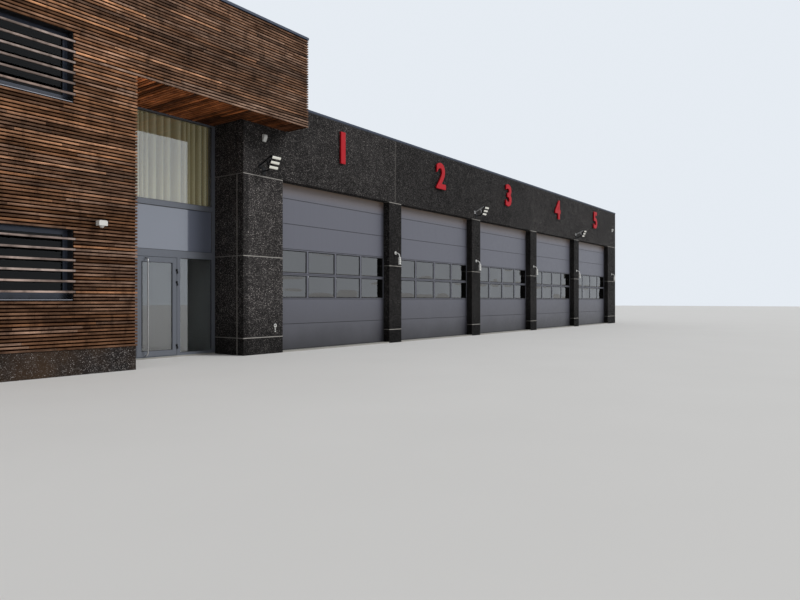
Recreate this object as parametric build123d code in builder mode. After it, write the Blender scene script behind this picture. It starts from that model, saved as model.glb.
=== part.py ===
# Fire station: a row of sectional door bays in dark precast concrete, and a taller timber-clad wing
# that overhangs the recessed glass entrance between the two.
# Millimetres, +Z up, front towards -Y. The origin is at ground level, in the middle of the plan.

import math
import os

from build123d import *

os.makedirs("parts", exist_ok=True)

# Garage front
BAY_COUNT = 5
DOOR_OPENING = 4200
PIER_WIDTH = 600
CORNER_PIER_WIDTH = 1200
PANEL_THICKNESS = 210
BASE_HEIGHT = 390
PANEL_HEIGHT = 1865
FASCIA_HEIGHT = 1835
JOINT_WIDTH = 20
JOINT_DEPTH = 12
JOINT_CHAMFER = 6
GARAGE_DEPTH = 13200
GARAGE_WALL = 300
GARAGE_ROOF_UPSTAND = 460
GARAGE_ROOF_THICKNESS = 250
FLOOR_THICKNESS = 30

# Sectional doors
SECTION_COUNT = 7
SECTION_HEIGHT = 615
FIRST_GLAZED_SECTION = 2
GLAZED_SECTIONS = 2
LIGHTS_PER_SECTION = 4
DOOR_THICKNESS = 45
DOOR_OVERLAP = 40
DOOR_RAIL = 60
DOOR_SEAM = 8
DOOR_SEAM_DEPTH = 6
SECTION_EASE = 5
LIGHT_EASE = 5
DOOR_BOTTOM_GAP = 20
DOOR_PANE_THICKNESS = 16

# Timber wing and its overhang
WING_LENGTH = 9000
WING_PROJECTION = 700
OVERHANG_REACH = 1350
WING_WALL = 300
CLADDING_THICKNESS = 60
PLINTH_HEIGHT = 430
PLINTH_SETBACK = 20
SLAT_PITCH = 58.6
SLAT_HEIGHT = 35
SLAT_THICKNESS = 28
SLAT_COUNT_TO_TOP = 118
SLAT_COUNT_TO_SOFFIT = 83
SOFFIT_THICKNESS = 60
SLAT_COUNT_TO_LOWER_WINDOW = 14
SLAT_COUNT_TO_UPPER_WINDOW = 70
SLATS_PER_WINDOW = 20
SLATS_PER_LOUVRE = 3
UPPER_FLOOR_HEIGHT = 3300
UPPER_FLOOR_THICKNESS = 300
WING_ROOF_THICKNESS = 300

# Wing windows
WINDOW_MARGIN = 1150
WINDOW_LIGHTS = 3
WINDOW_SETBACK = 200
WINDOW_FRAME_DEPTH = 70
WINDOW_FRAME_WIDTH = 80
WINDOW_BOTTOM_RAIL = 125
WINDOW_PANE_THICKNESS = 24
SILL_DROP = 15
SILL_THICKNESS = 12

# Entrance glazing
ENTRANCE_WIDTH = 3000
RECESS_DEPTH = 1000
FRAME_DEPTH = 80
JAMB_WIDTH = 85
HEAD_HEIGHT = 35
POST_WIDTH = 80
DOOR_LEAF_WIDTH = 954
DOOR_GAP = 8
THRESHOLD_HEIGHT = 12
SIDELIGHT_SILL = 60
TRANSOM_HEIGHT = 2185
TRANSOM_DEPTH = 155
MID_RAIL_HEIGHT = 3290
MID_RAIL_DEPTH = 115
GLASS_THICKNESS = 28
SPANDREL_THICKNESS = 30
LEAF_THICKNESS = 70
LEAF_STILE = 105
LEAF_TOP_RAIL = 110
LEAF_BOTTOM_RAIL = 115

# Door furniture
PULL_DIAMETER = 26
PULL_STANDOFF = 90
PULL_BEND = 75
PULL_FROM_EDGE = 200
PULL_FROM_ENDS = 28
HINGE_RADIUS = 11
HINGE_PIN_RADIUS = 5
HINGE_PIN_CLEARANCE = 0.08
HINGE_KNUCKLE = 50
HINGE_PLATE_THICKNESS = 6
HINGE_PLATE_LENGTH = 30
HINGE_HEIGHTS = (230, 1620, 1885)

# Curtain behind the upper entrance window
CURTAIN_RAIL = 30
CURTAIN_DEPTH = 90
CURTAIN_SIDE_GAP = 95
CURTAIN_FLOOR_GAP = 20

# Metal copings
COPING_HEIGHT = 60
COPING_OVERHANG = 10
COPING_SLOPE = 12

# Fittings on the walls
FLOODLIGHT_ABOVE_LINTEL = 285
FLOODLIGHT_REACH = 330
FLOODLIGHT_TILT = 25
FLOODLIGHT_MODULE = (270, 78, 55)
FLOODLIGHT_MODULE_PITCH = 115
FLOODLIGHT_ARM_DIAMETER = 32
FLOODLIGHT_ARM_DROP = 165
FLOODLIGHT_SPINE = (60, 20)
WALL_PLATE = (110, 170, 12)
PIER_LAMP_HEIGHT = 2640
PIER_LAMP_REACH = 150
PIER_LAMP_DROP = 115
PIER_LAMP_PLATE_RADIUS = 48
PIER_LAMP_NECK_RADIUS = 17
PIER_LAMP_BODY_RADIUS = 50
PIER_LAMP_BODY_HEIGHT = 225
PIER_LAMP_SHOULDER = 40
PIER_LAMP_RIBS = 3
PIER_LAMP_RIB_PITCH = 55
PIER_LAMP_RIB_DEPTH = 14
SENSOR_HEIGHT = 5000
SENSOR_BODY = (95, 75, 160)
SENSOR_CHIN = 90
SENSOR_FOOT = 25
SENSOR_BROW = 20
SENSOR_FROM_CORNER = 600
CAMERA_HEIGHT = 2560
CAMERA_FROM_CORNER = 730
CAMERA_BODY = (150, 110, 88)
CAMERA_STANDOFF = 60
CAMERA_STEM_RADIUS = 36
CAMERA_DOME_RADIUS = 40
CAMERA_ROUNDING = 26
SUPPLY_CAP_FROM_CORNER = 940
SUPPLY_COVER = (650, 52, 32)
SUPPLY_CAPS = ((570, 23), (517, 23))
SUPPLY_CAP_DEPTH = 18
SUPPLY_COVER_RECESS = 10
SUPPLY_CAP_TAPER = 15

# Plan positions
bay_pitch = DOOR_OPENING + PIER_WIDTH
garage_length = BAY_COUNT * bay_pitch - PIER_WIDTH + 2 * CORNER_PIER_WIDTH
total_length = WING_LENGTH + ENTRANCE_WIDTH + garage_length
total_depth = WING_PROJECTION + GARAGE_DEPTH
x_wing = -total_length / 2
x_entrance = x_wing + WING_LENGTH
x_garage = x_entrance + ENTRANCE_WIDTH
x_overhang = x_garage + OVERHANG_REACH
x_end = x_garage + garage_length
camera_reach = CAMERA_STANDOFF + CAMERA_BODY[1]
y_timber = camera_reach - (camera_reach + total_depth + COPING_OVERHANG) / 2
y_front = y_timber + WING_PROJECTION
y_glazing = y_front + RECESS_DEPTH
y_hall = y_glazing + FRAME_DEPTH
y_rear = y_front + GARAGE_DEPTH
wall_build_up = CLADDING_THICKNESS + WING_WALL
y_panel_back = y_front + PANEL_THICKNESS
y_rear_inside = y_rear - wall_build_up
x_wing_inside = x_wing + wall_build_up
bay_centres = [
    x_garage + CORNER_PIER_WIDTH + DOOR_OPENING / 2 + bay * bay_pitch for bay in range(BAY_COUNT)
]
pier_centres = [centre + bay_pitch / 2 for centre in bay_centres[:-1]]

# Heights
z_lintel = BASE_HEIGHT + 2 * PANEL_HEIGHT
z_parapet = z_lintel + FASCIA_HEIGHT
z_garage_roof = z_parapet - GARAGE_ROOF_UPSTAND
z_timber_top = PLINTH_HEIGHT + SLAT_COUNT_TO_TOP * SLAT_PITCH
z_soffit = PLINTH_HEIGHT + SLAT_COUNT_TO_SOFFIT * SLAT_PITCH
z_soffit_back = z_soffit + SOFFIT_THICKNESS
z_wing_roof = z_parapet + WING_ROOF_THICKNESS
z_upper_ceiling = UPPER_FLOOR_HEIGHT - UPPER_FLOOR_THICKNESS
z_floodlight = z_lintel + FLOODLIGHT_ABOVE_LINTEL
z_mid_rail_top = MID_RAIL_HEIGHT + MID_RAIL_DEPTH
z_transom_top = TRANSOM_HEIGHT + TRANSOM_DEPTH
joint_heights = (BASE_HEIGHT, BASE_HEIGHT + PANEL_HEIGHT, z_lintel - JOINT_WIDTH / 2)

# Windows of the wing: one long opening to each storey, on three sides
window_length = WING_LENGTH - 2 * WINDOW_MARGIN
window_height = SLATS_PER_WINDOW * SLAT_PITCH
window_bottoms = [
    PLINTH_HEIGHT + count * SLAT_PITCH
    for count in (SLAT_COUNT_TO_LOWER_WINDOW, SLAT_COUNT_TO_UPPER_WINDOW)
]
x_window = (x_wing + x_entrance) / 2
y_window = (y_timber + y_rear) / 2


def front_plane(y):
    """A vertical plane facing the front, with local x to the right and local y up."""
    return Plane(origin=(0, y, 0), x_dir=(1, 0, 0), z_dir=(0, -1, 0))


def save(piece, name):
    """Labels a finished piece and writes it as its own file."""
    piece.part.label = name
    export_step(piece.part, f"parts/{name}.step")


def block(x_low, x_high, y_low, y_high, z_low, z_high):
    """A plain block between pairs of coordinates."""
    with BuildPart() as piece:
        with BuildSketch(Plane.XY.offset(z_low)):
            with Locations(((x_low + x_high) / 2, (y_low + y_high) / 2)):
                Rectangle(x_high - x_low, y_high - y_low)
        extrude(amount=z_high - z_low)
    return piece


def plate(outline, z_low, z_high):
    """A flat piece with the given plan outline."""
    with BuildPart() as piece:
        with BuildSketch(Plane.XY.offset(z_low)):
            with BuildLine():
                Polyline(*outline, close=True)
            make_face()
        extrude(amount=z_high - z_low)
    return piece


def pier_outlines(inset=0):
    """The plans of the six piers with eased front corners, each taken in by a distance all round."""
    middle = (y_front + y_panel_back) / 2
    corners = (x_garage + CORNER_PIER_WIDTH / 2, x_end - CORNER_PIER_WIDTH / 2)
    with BuildSketch() as outlines:
        with Locations(*[(x, middle) for x in pier_centres]):
            Rectangle(PIER_WIDTH - 2 * inset, PANEL_THICKNESS - 2 * inset)
        with Locations(*[(x, middle) for x in corners]):
            Rectangle(CORNER_PIER_WIDTH - 2 * inset, PANEL_THICKNESS - 2 * inset)
        chamfer(outlines.vertices().group_by(Axis.Y)[0], JOINT_CHAMFER)
    return outlines.sketch


def make_piers():
    """Pier panels of full wall thickness, stacked on a low base panel, with a sunk joint between panels."""
    with BuildPart() as piers:
        extrude(pier_outlines(), amount=z_lintel)
        for height in joint_heights:
            foot = Location((0, 0, height - JOINT_WIDTH / 2))
            extrude(foot * pier_outlines(), amount=JOINT_WIDTH, mode=Mode.SUBTRACT)
            extrude(foot * pier_outlines(JOINT_DEPTH), amount=JOINT_WIDTH)
    save(piers, "door_piers")


def make_fascia_panels():
    """Long panels over the doors, meeting above every second pier, with chamfered vertical edges."""
    meeting = pier_centres[0::2]
    starts = [x_garage] + [x + JOINT_WIDTH / 2 for x in meeting]
    ends = [x - JOINT_WIDTH / 2 for x in meeting] + [x_end]
    with BuildPart() as fascia:
        with BuildSketch(Plane.XY.offset(z_lintel)):
            for low, high in zip(starts, ends):
                with Locations(((low + high) / 2, (y_front + y_panel_back) / 2)):
                    Rectangle(high - low, PANEL_THICKNESS)
        extrude(amount=FASCIA_HEIGHT)
        front_corners = fascia.edges().filter_by(Axis.Z).group_by(Axis.Y)[0]
        chamfer(front_corners, JOINT_CHAMFER)
    save(fascia, "fascia_panels")


def panel_wall(plane, length, height, vertical_joints, thickness):
    """A precast wall on a plane that faces out of it, with sunk joints on its outer face.
    The plane's origin is at the foot of the wall, in the middle of its length."""
    with BuildPart() as wall:
        with BuildSketch(plane):
            with Locations((0, height / 2)):
                Rectangle(length, height)
        extrude(amount=-thickness)
        with BuildSketch(plane):
            with Locations(*[(0, z) for z in joint_heights]):
                Rectangle(length, JOINT_WIDTH)
            with Locations(*[(x, height / 2) for x in vertical_joints]):
                Rectangle(JOINT_WIDTH, height)
        extrude(amount=-JOINT_DEPTH, mode=Mode.SUBTRACT)
    return wall


def make_garage_walls():
    """Rear and end walls of the garage, and the wall it shares with the entrance hall."""
    rear_plane = Plane(
        origin=((x_garage + x_end) / 2, y_rear, 0), x_dir=(-1, 0, 0), z_dir=(0, 1, 0)
    )
    rear_joints = [(x_garage + x_end) / 2 - x for x in pier_centres]
    save(
        panel_wall(rear_plane, garage_length, z_parapet, rear_joints, GARAGE_WALL), "garage_rear_wall"
    )

    side_low = y_panel_back
    side_high = y_rear - GARAGE_WALL
    side_length = side_high - side_low
    side_panels = round(side_length / bay_pitch)
    front_joint = (side_length - JOINT_WIDTH) / 2
    side_joints = [-front_joint] + [
        side_length * (step / side_panels - 0.5) for step in range(1, side_panels)
    ]
    end_plane = Plane(
        origin=(x_end, (side_low + side_high) / 2, 0), x_dir=(0, 1, 0), z_dir=(1, 0, 0)
    )
    save(
        panel_wall(end_plane, side_length, z_parapet, side_joints, GARAGE_WALL), "garage_end_wall"
    )

    shared_plane = Plane(
        origin=(x_garage, (side_low + side_high) / 2, 0), x_dir=(0, -1, 0), z_dir=(-1, 0, 0)
    )
    shared = panel_wall(shared_plane, side_length, z_parapet, [front_joint], GARAGE_WALL)
    save(shared, "shared_wall")


def make_garage_roof():
    """Roof slab between the parapets."""
    x_low = x_garage + GARAGE_WALL
    x_high = x_end - GARAGE_WALL
    y_high = y_rear - GARAGE_WALL
    roof = block(
        x_low,
        x_high,
        y_panel_back,
        y_high,
        z_garage_roof - GARAGE_ROOF_THICKNESS,
        z_garage_roof,
    )
    save(roof, "garage_roof")


door_width = DOOR_OPENING + 2 * DOOR_OVERLAP
z_door = FLOOR_THICKNESS + DOOR_BOTTOM_GAP
light_pitch = DOOR_OPENING / LIGHTS_PER_SECTION
light_width = light_pitch - DOOR_RAIL
light_height = SECTION_HEIGHT - DOOR_RAIL
light_rows = [
    z_door + (FIRST_GLAZED_SECTION + row + 0.5) * SECTION_HEIGHT for row in range(GLAZED_SECTIONS)
]


def door_section_profile():
    """The side view of a closed door, with an eased groove in its face between every two sections."""
    y_face = y_panel_back
    y_groove = y_face + DOOR_SEAM_DEPTH
    y_back = y_face + DOOR_THICKNESS
    z_head = z_door + SECTION_COUNT * SECTION_HEIGHT
    points = [(y_face, z_door)]
    for seam in range(1, SECTION_COUNT):
        z_low = z_door + seam * SECTION_HEIGHT - DOOR_SEAM / 2
        z_high = z_low + DOOR_SEAM
        points += [
            (y_face, z_low - SECTION_EASE),
            (y_groove, z_low),
            (y_groove, z_high),
            (y_face, z_high + SECTION_EASE),
        ]
    return points + [(y_face, z_head), (y_back, z_head), (y_back, z_door)]


def make_bay_doors():
    """Sectional doors behind the piers: plain sections, and two glazed ones with four lights each.
    The lights have eased front edges, like the sections."""
    profile = door_section_profile()
    for number, centre in enumerate(bay_centres, start=1):
        with BuildPart() as door:
            with BuildSketch(Plane.YZ.offset(centre - door_width / 2)):
                with BuildLine():
                    Polyline(*profile, close=True)
                make_face()
            extrude(amount=door_width)
            with BuildSketch(front_plane(y_panel_back)):
                with Locations((centre, sum(light_rows) / len(light_rows))):
                    with GridLocations(light_pitch, SECTION_HEIGHT, LIGHTS_PER_SECTION, GLAZED_SECTIONS):
                        Rectangle(light_width, light_height)
            extrude(amount=-DOOR_THICKNESS, mode=Mode.SUBTRACT)
            front_faces = door.faces().group_by(Axis.Y)[0]
            rims = [edge for face in front_faces for wire in face.inner_wires() for edge in wire.edges()]
            chamfer(rims, LIGHT_EASE)
        save(door, f"bay_door_{number}")


def make_bay_door_glass():
    """One clear pane in each light of the bay doors, held half way through the section."""
    pane_front = y_panel_back + (DOOR_THICKNESS - DOOR_PANE_THICKNESS) / 2
    with BuildPart() as panes:
        with BuildSketch(front_plane(pane_front)):
            for centre in bay_centres:
                with Locations((centre, sum(light_rows) / len(light_rows))):
                    with GridLocations(light_pitch, SECTION_HEIGHT, LIGHTS_PER_SECTION, GLAZED_SECTIONS):
                        Rectangle(light_width, light_height)
        extrude(amount=-DOOR_PANE_THICKNESS)
    save(panes, "bay_door_glass")


def make_garage_coping():
    """Sheet metal coping along the garage parapets, from the overhang round to the overhang again."""
    lip = COPING_OVERHANG
    outline = [
        (x_overhang, y_front - lip),
        (x_end + lip, y_front - lip),
        (x_end + lip, y_rear + lip),
        (x_overhang, y_rear + lip),
        (x_overhang, y_rear - GARAGE_WALL - lip),
        (x_end - GARAGE_WALL - lip, y_rear - GARAGE_WALL - lip),
        (x_end - GARAGE_WALL - lip, y_panel_back + lip),
        (x_overhang, y_panel_back + lip),
    ]
    with BuildPart() as coping:
        with BuildSketch(Plane.XY.offset(z_parapet)):
            with BuildLine():
                Polyline(*outline, close=True)
            make_face()
        extrude(amount=COPING_HEIGHT)
        top = coping.faces().sort_by(Axis.Z)[-1]
        chamfer(top.edges().filter_by(lambda edge: edge.length > PIER_WIDTH), COPING_SLOPE)
    save(coping, "garage_coping")


def window_openings(centre, plane):
    """The outlines of the two long window openings of a wall, on the given plane."""
    with BuildSketch(plane) as openings:
        with Locations(*[(centre, bottom + window_height / 2) for bottom in window_bottoms]):
            Rectangle(window_length, window_height)
    return openings.sketch


def make_plinth():
    """Low concrete base under the timber wing, one mass, returning into the entrance recess."""
    outside = PLINTH_SETBACK
    inside = wall_build_up
    outline = [
        (x_wing + outside, y_timber + outside),
        (x_entrance - outside, y_timber + outside),
        (x_entrance - outside, y_hall),
        (x_entrance - inside, y_hall),
        (x_entrance - inside, y_timber + inside),
        (x_wing + inside, y_timber + inside),
        (x_wing + inside, y_rear - inside),
        (x_garage, y_rear - inside),
        (x_garage, y_rear - outside),
        (x_wing + outside, y_rear - outside),
    ]
    save(plate(outline, 0, PLINTH_HEIGHT), "wing_plinth")


def make_wing_walls():
    """Walls behind the timber cladding, on the plinth, with the window openings cut through them."""
    y_back = y_timber + wall_build_up
    height = z_timber_top - PLINTH_HEIGHT
    x_low = x_wing + CLADDING_THICKNESS
    x_high = x_entrance - CLADDING_THICKNESS

    plane = front_plane(y_back)
    with BuildPart() as front_wall:
        with BuildSketch(plane):
            with Locations(((x_low + x_high) / 2, PLINTH_HEIGHT + height / 2)):
                Rectangle(x_high - x_low, height)
        extrude(amount=WING_WALL)
        extrude(window_openings(x_window, plane), amount=WING_WALL, mode=Mode.SUBTRACT)
    save(front_wall, "wing_front_wall")

    rear_plane = front_plane(y_rear - CLADDING_THICKNESS)
    with BuildPart() as rear_wall:
        with BuildSketch(rear_plane):
            with Locations(((x_low + x_garage) / 2, PLINTH_HEIGHT + height / 2)):
                Rectangle(x_garage - x_low, height)
        extrude(amount=WING_WALL)
        extrude(window_openings(x_window, rear_plane), amount=WING_WALL, mode=Mode.SUBTRACT)
    save(rear_wall, "wing_rear_wall")

    side_plane = Plane.YZ.offset(x_low)
    with BuildPart() as side_wall:
        with BuildSketch(side_plane):
            with Locations(((y_back + y_rear_inside) / 2, PLINTH_HEIGHT + height / 2)):
                Rectangle(y_rear_inside - y_back, height)
        extrude(amount=WING_WALL)
        extrude(window_openings(y_window, side_plane), amount=WING_WALL, mode=Mode.SUBTRACT)
    save(side_wall, "wing_side_wall")

    recess_wall = block(
        x_entrance - wall_build_up, x_high, y_back, y_hall, PLINTH_HEIGHT, z_parapet
    )
    save(recess_wall, "recess_side_wall")


def overhang_side(plane, y_span, z_low, lip, rise):
    """The side of the upper storey, cut out over the garage: over the front panels, the roof and the
    rear wall. It keeps clear of the parapets by a lip to each side and a rise above them."""
    y_low, y_high = y_span
    y_inner_front = y_panel_back + lip
    y_inner_rear = y_rear - GARAGE_WALL - lip
    cuts = [
        (y_front - lip, y_inner_front, z_parapet + rise),
        (y_inner_front, y_inner_rear, z_garage_roof),
        (y_inner_rear, y_rear, z_parapet + rise),
    ]
    with BuildSketch(plane) as side:
        with Locations(((y_low + y_high) / 2, (z_low + z_timber_top) / 2)):
            Rectangle(y_high - y_low, z_timber_top - z_low)
        for cut_low, cut_high, z_top in cuts:
            with Locations(((cut_low + cut_high) / 2, (z_low + z_top) / 2)):
                Rectangle(cut_high - cut_low, z_top - z_low, mode=Mode.SUBTRACT)
    return side.sketch


def make_overhang_walls():
    """Front beam, side wall and rear wall of the upper storey where it passes over the garage."""
    y_back = y_timber + wall_build_up
    x_low = x_entrance - CLADDING_THICKNESS
    x_high = x_overhang - CLADDING_THICKNESS
    beam = block(x_low, x_high, y_timber + CLADDING_THICKNESS, y_back, z_soffit_back, z_timber_top)
    save(beam, "overhang_front_beam")

    plane = Plane.YZ.offset(x_high - WING_WALL)
    with BuildPart() as side_wall:
        extrude(overhang_side(plane, (y_back, y_rear_inside), z_soffit_back, 0, 0), amount=WING_WALL)
    save(side_wall, "overhang_side_wall")

    rear = block(
        x_garage, x_high, y_rear_inside, y_rear - CLADDING_THICKNESS, z_parapet, z_timber_top
    )
    save(rear, "overhang_rear_wall")


def make_entrance_header():
    """Wall over the entrance glazing, up to the roof slab."""
    header = block(
        x_entrance - CLADDING_THICKNESS, x_garage, y_glazing, y_glazing + WING_WALL, z_soffit, z_parapet
    )
    save(header, "entrance_header")


def make_cladding():
    """Timber cladding zones: slats on battens, as one layer to each side of the wing."""
    with BuildPart() as front:
        outline = [
            (x_wing, PLINTH_HEIGHT),
            (x_entrance, PLINTH_HEIGHT),
            (x_entrance, z_soffit),
            (x_overhang, z_soffit),
            (x_overhang, z_timber_top),
            (x_wing, z_timber_top),
        ]
        plane = front_plane(y_timber + CLADDING_THICKNESS)
        with BuildSketch(plane):
            with BuildLine():
                Polyline(*outline, close=True)
            make_face()
        extrude(amount=CLADDING_THICKNESS)
        extrude(window_openings(x_window, plane), amount=CLADDING_THICKNESS, mode=Mode.SUBTRACT)
    save(front, "front_cladding")

    with BuildPart() as rear:
        outline = [
            (x_wing, PLINTH_HEIGHT),
            (x_garage, PLINTH_HEIGHT),
            (x_garage, z_parapet),
            (x_overhang, z_parapet),
            (x_overhang, z_timber_top),
            (x_wing, z_timber_top),
        ]
        plane = front_plane(y_rear)
        with BuildSketch(plane):
            with BuildLine():
                Polyline(*outline, close=True)
            make_face()
        extrude(amount=CLADDING_THICKNESS)
        extrude(window_openings(x_window, plane), amount=CLADDING_THICKNESS, mode=Mode.SUBTRACT)
    save(rear, "rear_cladding")

    y_low = y_timber + CLADDING_THICKNESS
    y_high = y_rear - CLADDING_THICKNESS
    with BuildPart() as side:
        plane = Plane.YZ.offset(x_wing)
        with BuildSketch(plane):
            with Locations(((y_low + y_high) / 2, (PLINTH_HEIGHT + z_timber_top) / 2)):
                Rectangle(y_high - y_low, z_timber_top - PLINTH_HEIGHT)
        extrude(amount=CLADDING_THICKNESS)
        extrude(window_openings(y_window, plane), amount=CLADDING_THICKNESS, mode=Mode.SUBTRACT)
    save(side, "side_cladding")

    recess = block(
        x_entrance - CLADDING_THICKNESS, x_entrance, y_low, y_hall, PLINTH_HEIGHT, z_soffit
    )
    save(recess, "recess_cladding")

    plane = Plane.YZ.offset(x_overhang - CLADDING_THICKNESS)
    outline = overhang_side(plane, (y_low, y_high), z_soffit, COPING_OVERHANG, COPING_HEIGHT)
    with BuildPart() as overhang:
        extrude(outline, amount=CLADDING_THICKNESS)
    save(overhang, "overhang_side_cladding")


def make_soffit():
    """Timber lining under the overhang and over the entrance recess."""
    y_low = y_timber + CLADDING_THICKNESS
    outline = [
        (x_entrance, y_low),
        (x_overhang - CLADDING_THICKNESS, y_low),
        (x_overhang - CLADDING_THICKNESS, y_front),
        (x_garage, y_front),
        (x_garage, y_glazing),
        (x_entrance, y_glazing),
    ]
    save(plate(outline, z_soffit, z_soffit_back), "entrance_soffit")


def room_outline():
    """The L-shaped plan of the rooms in the wing and behind the entrance."""
    y_low = y_timber + wall_build_up
    return [
        (x_wing_inside, y_low),
        (x_entrance - wall_build_up, y_low),
        (x_entrance - wall_build_up, y_hall),
        (x_garage, y_hall),
        (x_garage, y_rear_inside),
        (x_wing_inside, y_rear_inside),
    ]


def make_ground_floor():
    """Floor slabs of the wing and the garage, with a threshold in the entrance and in each door bay."""
    outline = room_outline()
    outline[3:4] = [(x_entrance, y_hall), (x_entrance, y_glazing), (x_garage, y_glazing)]
    x_low = x_garage + GARAGE_WALL
    x_high = x_end - GARAGE_WALL
    y_high = y_rear - GARAGE_WALL
    with BuildPart() as floor:
        with BuildSketch():
            with BuildLine():
                Polyline(*outline, close=True)
            make_face()
            with Locations(((x_low + x_high) / 2, (y_panel_back + y_high) / 2)):
                Rectangle(x_high - x_low, y_high - y_panel_back)
            with Locations(*[(x, (y_front + y_panel_back) / 2) for x in bay_centres]):
                Rectangle(DOOR_OPENING, PANEL_THICKNESS)
        extrude(amount=FLOOR_THICKNESS)
    save(floor, "ground_floor")


def make_wing_floor_and_roof():
    """Upper floor and roof slab of the wing."""
    y_low = y_timber + wall_build_up
    save(plate(room_outline(), z_upper_ceiling, UPPER_FLOOR_HEIGHT), "upper_floor")
    roof = block(
        x_wing_inside,
        x_overhang - wall_build_up,
        y_low,
        y_rear_inside,
        z_parapet,
        z_wing_roof,
    )
    save(roof, "wing_roof")


def make_wing_coping():
    """Sheet metal coping round the top of the timber wing."""
    width = x_overhang - x_wing
    middle = ((x_wing + x_overhang) / 2, (y_timber + y_rear) / 2)
    with BuildPart() as coping:
        with BuildSketch(Plane.XY.offset(z_timber_top)):
            with Locations(middle):
                Rectangle(width + 2 * COPING_OVERHANG, total_depth + 2 * COPING_OVERHANG)
                Rectangle(
                    width - 2 * (wall_build_up + COPING_OVERHANG),
                    total_depth - 2 * (wall_build_up + COPING_OVERHANG),
                    mode=Mode.SUBTRACT,
                )
        extrude(amount=COPING_HEIGHT)
        chamfer(coping.faces().sort_by(Axis.Z)[-1].edges(), COPING_SLOPE)
    save(coping, "wing_coping")


def side_frames(setback, depth):
    """The plane at a distance behind the timber face of each windowed side, with its window centre."""
    return [
        (front_plane(y_timber + setback + depth), x_window),
        (front_plane(y_rear - setback), x_window),
        (Plane.YZ.offset(x_wing + setback), y_window),
    ]


def make_louvres():
    """Every third slat of the cladding carries on across the windows as a louvre."""
    bars = SLATS_PER_WINDOW // SLATS_PER_LOUVRE
    heights = [
        bottom + (SLATS_PER_LOUVRE - 1 + SLATS_PER_LOUVRE * bar + 0.5) * SLAT_PITCH
        for bottom in window_bottoms
        for bar in range(bars)
    ]
    with BuildPart() as louvres:
        for plane, centre in side_frames(0, SLAT_THICKNESS):
            with BuildSketch(plane):
                with Locations(*[(centre, z) for z in heights]):
                    Rectangle(window_length, SLAT_HEIGHT)
            extrude(amount=SLAT_THICKNESS)
    save(louvres, "window_louvres")


def sill_profiles(x_axis, origin):
    """Sections of the two folded sills of one side, which fall outwards from the frames to the louvres.
    The plane's local x points outwards and its local y upwards."""
    reach = WINDOW_SETBACK - SLAT_THICKNESS
    across = Vector(*x_axis).cross(Vector(0, 0, 1))
    with BuildSketch(Plane(origin=origin, x_dir=x_axis, z_dir=across)) as ends:
        for bottom in window_bottoms:
            top = bottom + SILL_THICKNESS
            with BuildLine():
                Polyline((0, bottom), (reach, bottom), (reach, top), (0, top + SILL_DROP), close=True)
            make_face()
    return ends.sketch


def window_lights(plane, centre):
    """The outlines of the lights in the two windows of one side, on the given plane."""
    pane_width = (window_length - (WINDOW_LIGHTS + 1) * WINDOW_FRAME_WIDTH) / WINDOW_LIGHTS
    pane_height = window_height - WINDOW_FRAME_WIDTH - WINDOW_BOTTOM_RAIL
    middles = [bottom + WINDOW_BOTTOM_RAIL + pane_height / 2 for bottom in window_bottoms]
    with BuildSketch(plane) as lights:
        with Locations(*[(centre, z) for z in middles]):
            with GridLocations(pane_width + WINDOW_FRAME_WIDTH, 0, WINDOW_LIGHTS, 1):
                Rectangle(pane_width, pane_height)
    return lights.sketch


def make_wing_windows():
    """Window frames with mullions and a sloping metal sill, and their panes, set back behind the louvres."""
    with BuildPart() as frames:
        for plane, centre in side_frames(WINDOW_SETBACK, WINDOW_FRAME_DEPTH):
            extrude(window_openings(centre, plane), amount=WINDOW_FRAME_DEPTH)
        for plane, centre in side_frames(WINDOW_SETBACK, WINDOW_FRAME_DEPTH):
            extrude(window_lights(plane, centre), amount=WINDOW_FRAME_DEPTH, mode=Mode.SUBTRACT)
        half = window_length / 2
        front_sill = sill_profiles((0, -1, 0), (x_window + half, y_timber + WINDOW_SETBACK, 0))
        rear_sill = sill_profiles((0, 1, 0), (x_window - half, y_rear - WINDOW_SETBACK, 0))
        side_sill = sill_profiles((-1, 0, 0), (x_wing + WINDOW_SETBACK, y_window - half, 0))
        for sill in (front_sill, rear_sill, side_sill):
            extrude(sill, amount=window_length)
    save(frames, "window_frames")

    pane_setback = WINDOW_SETBACK + (WINDOW_FRAME_DEPTH - WINDOW_PANE_THICKNESS) / 2
    with BuildPart() as panes:
        for plane, centre in side_frames(pane_setback, WINDOW_PANE_THICKNESS):
            extrude(window_lights(plane, centre), amount=WINDOW_PANE_THICKNESS)
    save(panes, "window_glass")


# Entrance glazing positions
x_door_middle = (x_entrance + x_garage) / 2
door_opening_width = DOOR_LEAF_WIDTH + 2 * DOOR_GAP
x_posts = [
    x_door_middle + side * (door_opening_width + POST_WIDTH) / 2 for side in (-1, 1)
]
sidelight_width = (ENTRANCE_WIDTH - door_opening_width) / 2 - POST_WIDTH - JAMB_WIDTH
x_sidelights = [
    x_entrance + JAMB_WIDTH + sidelight_width / 2,
    x_garage - JAMB_WIDTH - sidelight_width / 2,
]
clear_width = ENTRANCE_WIDTH - 2 * JAMB_WIDTH
z_head = z_soffit - HEAD_HEIGHT


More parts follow.
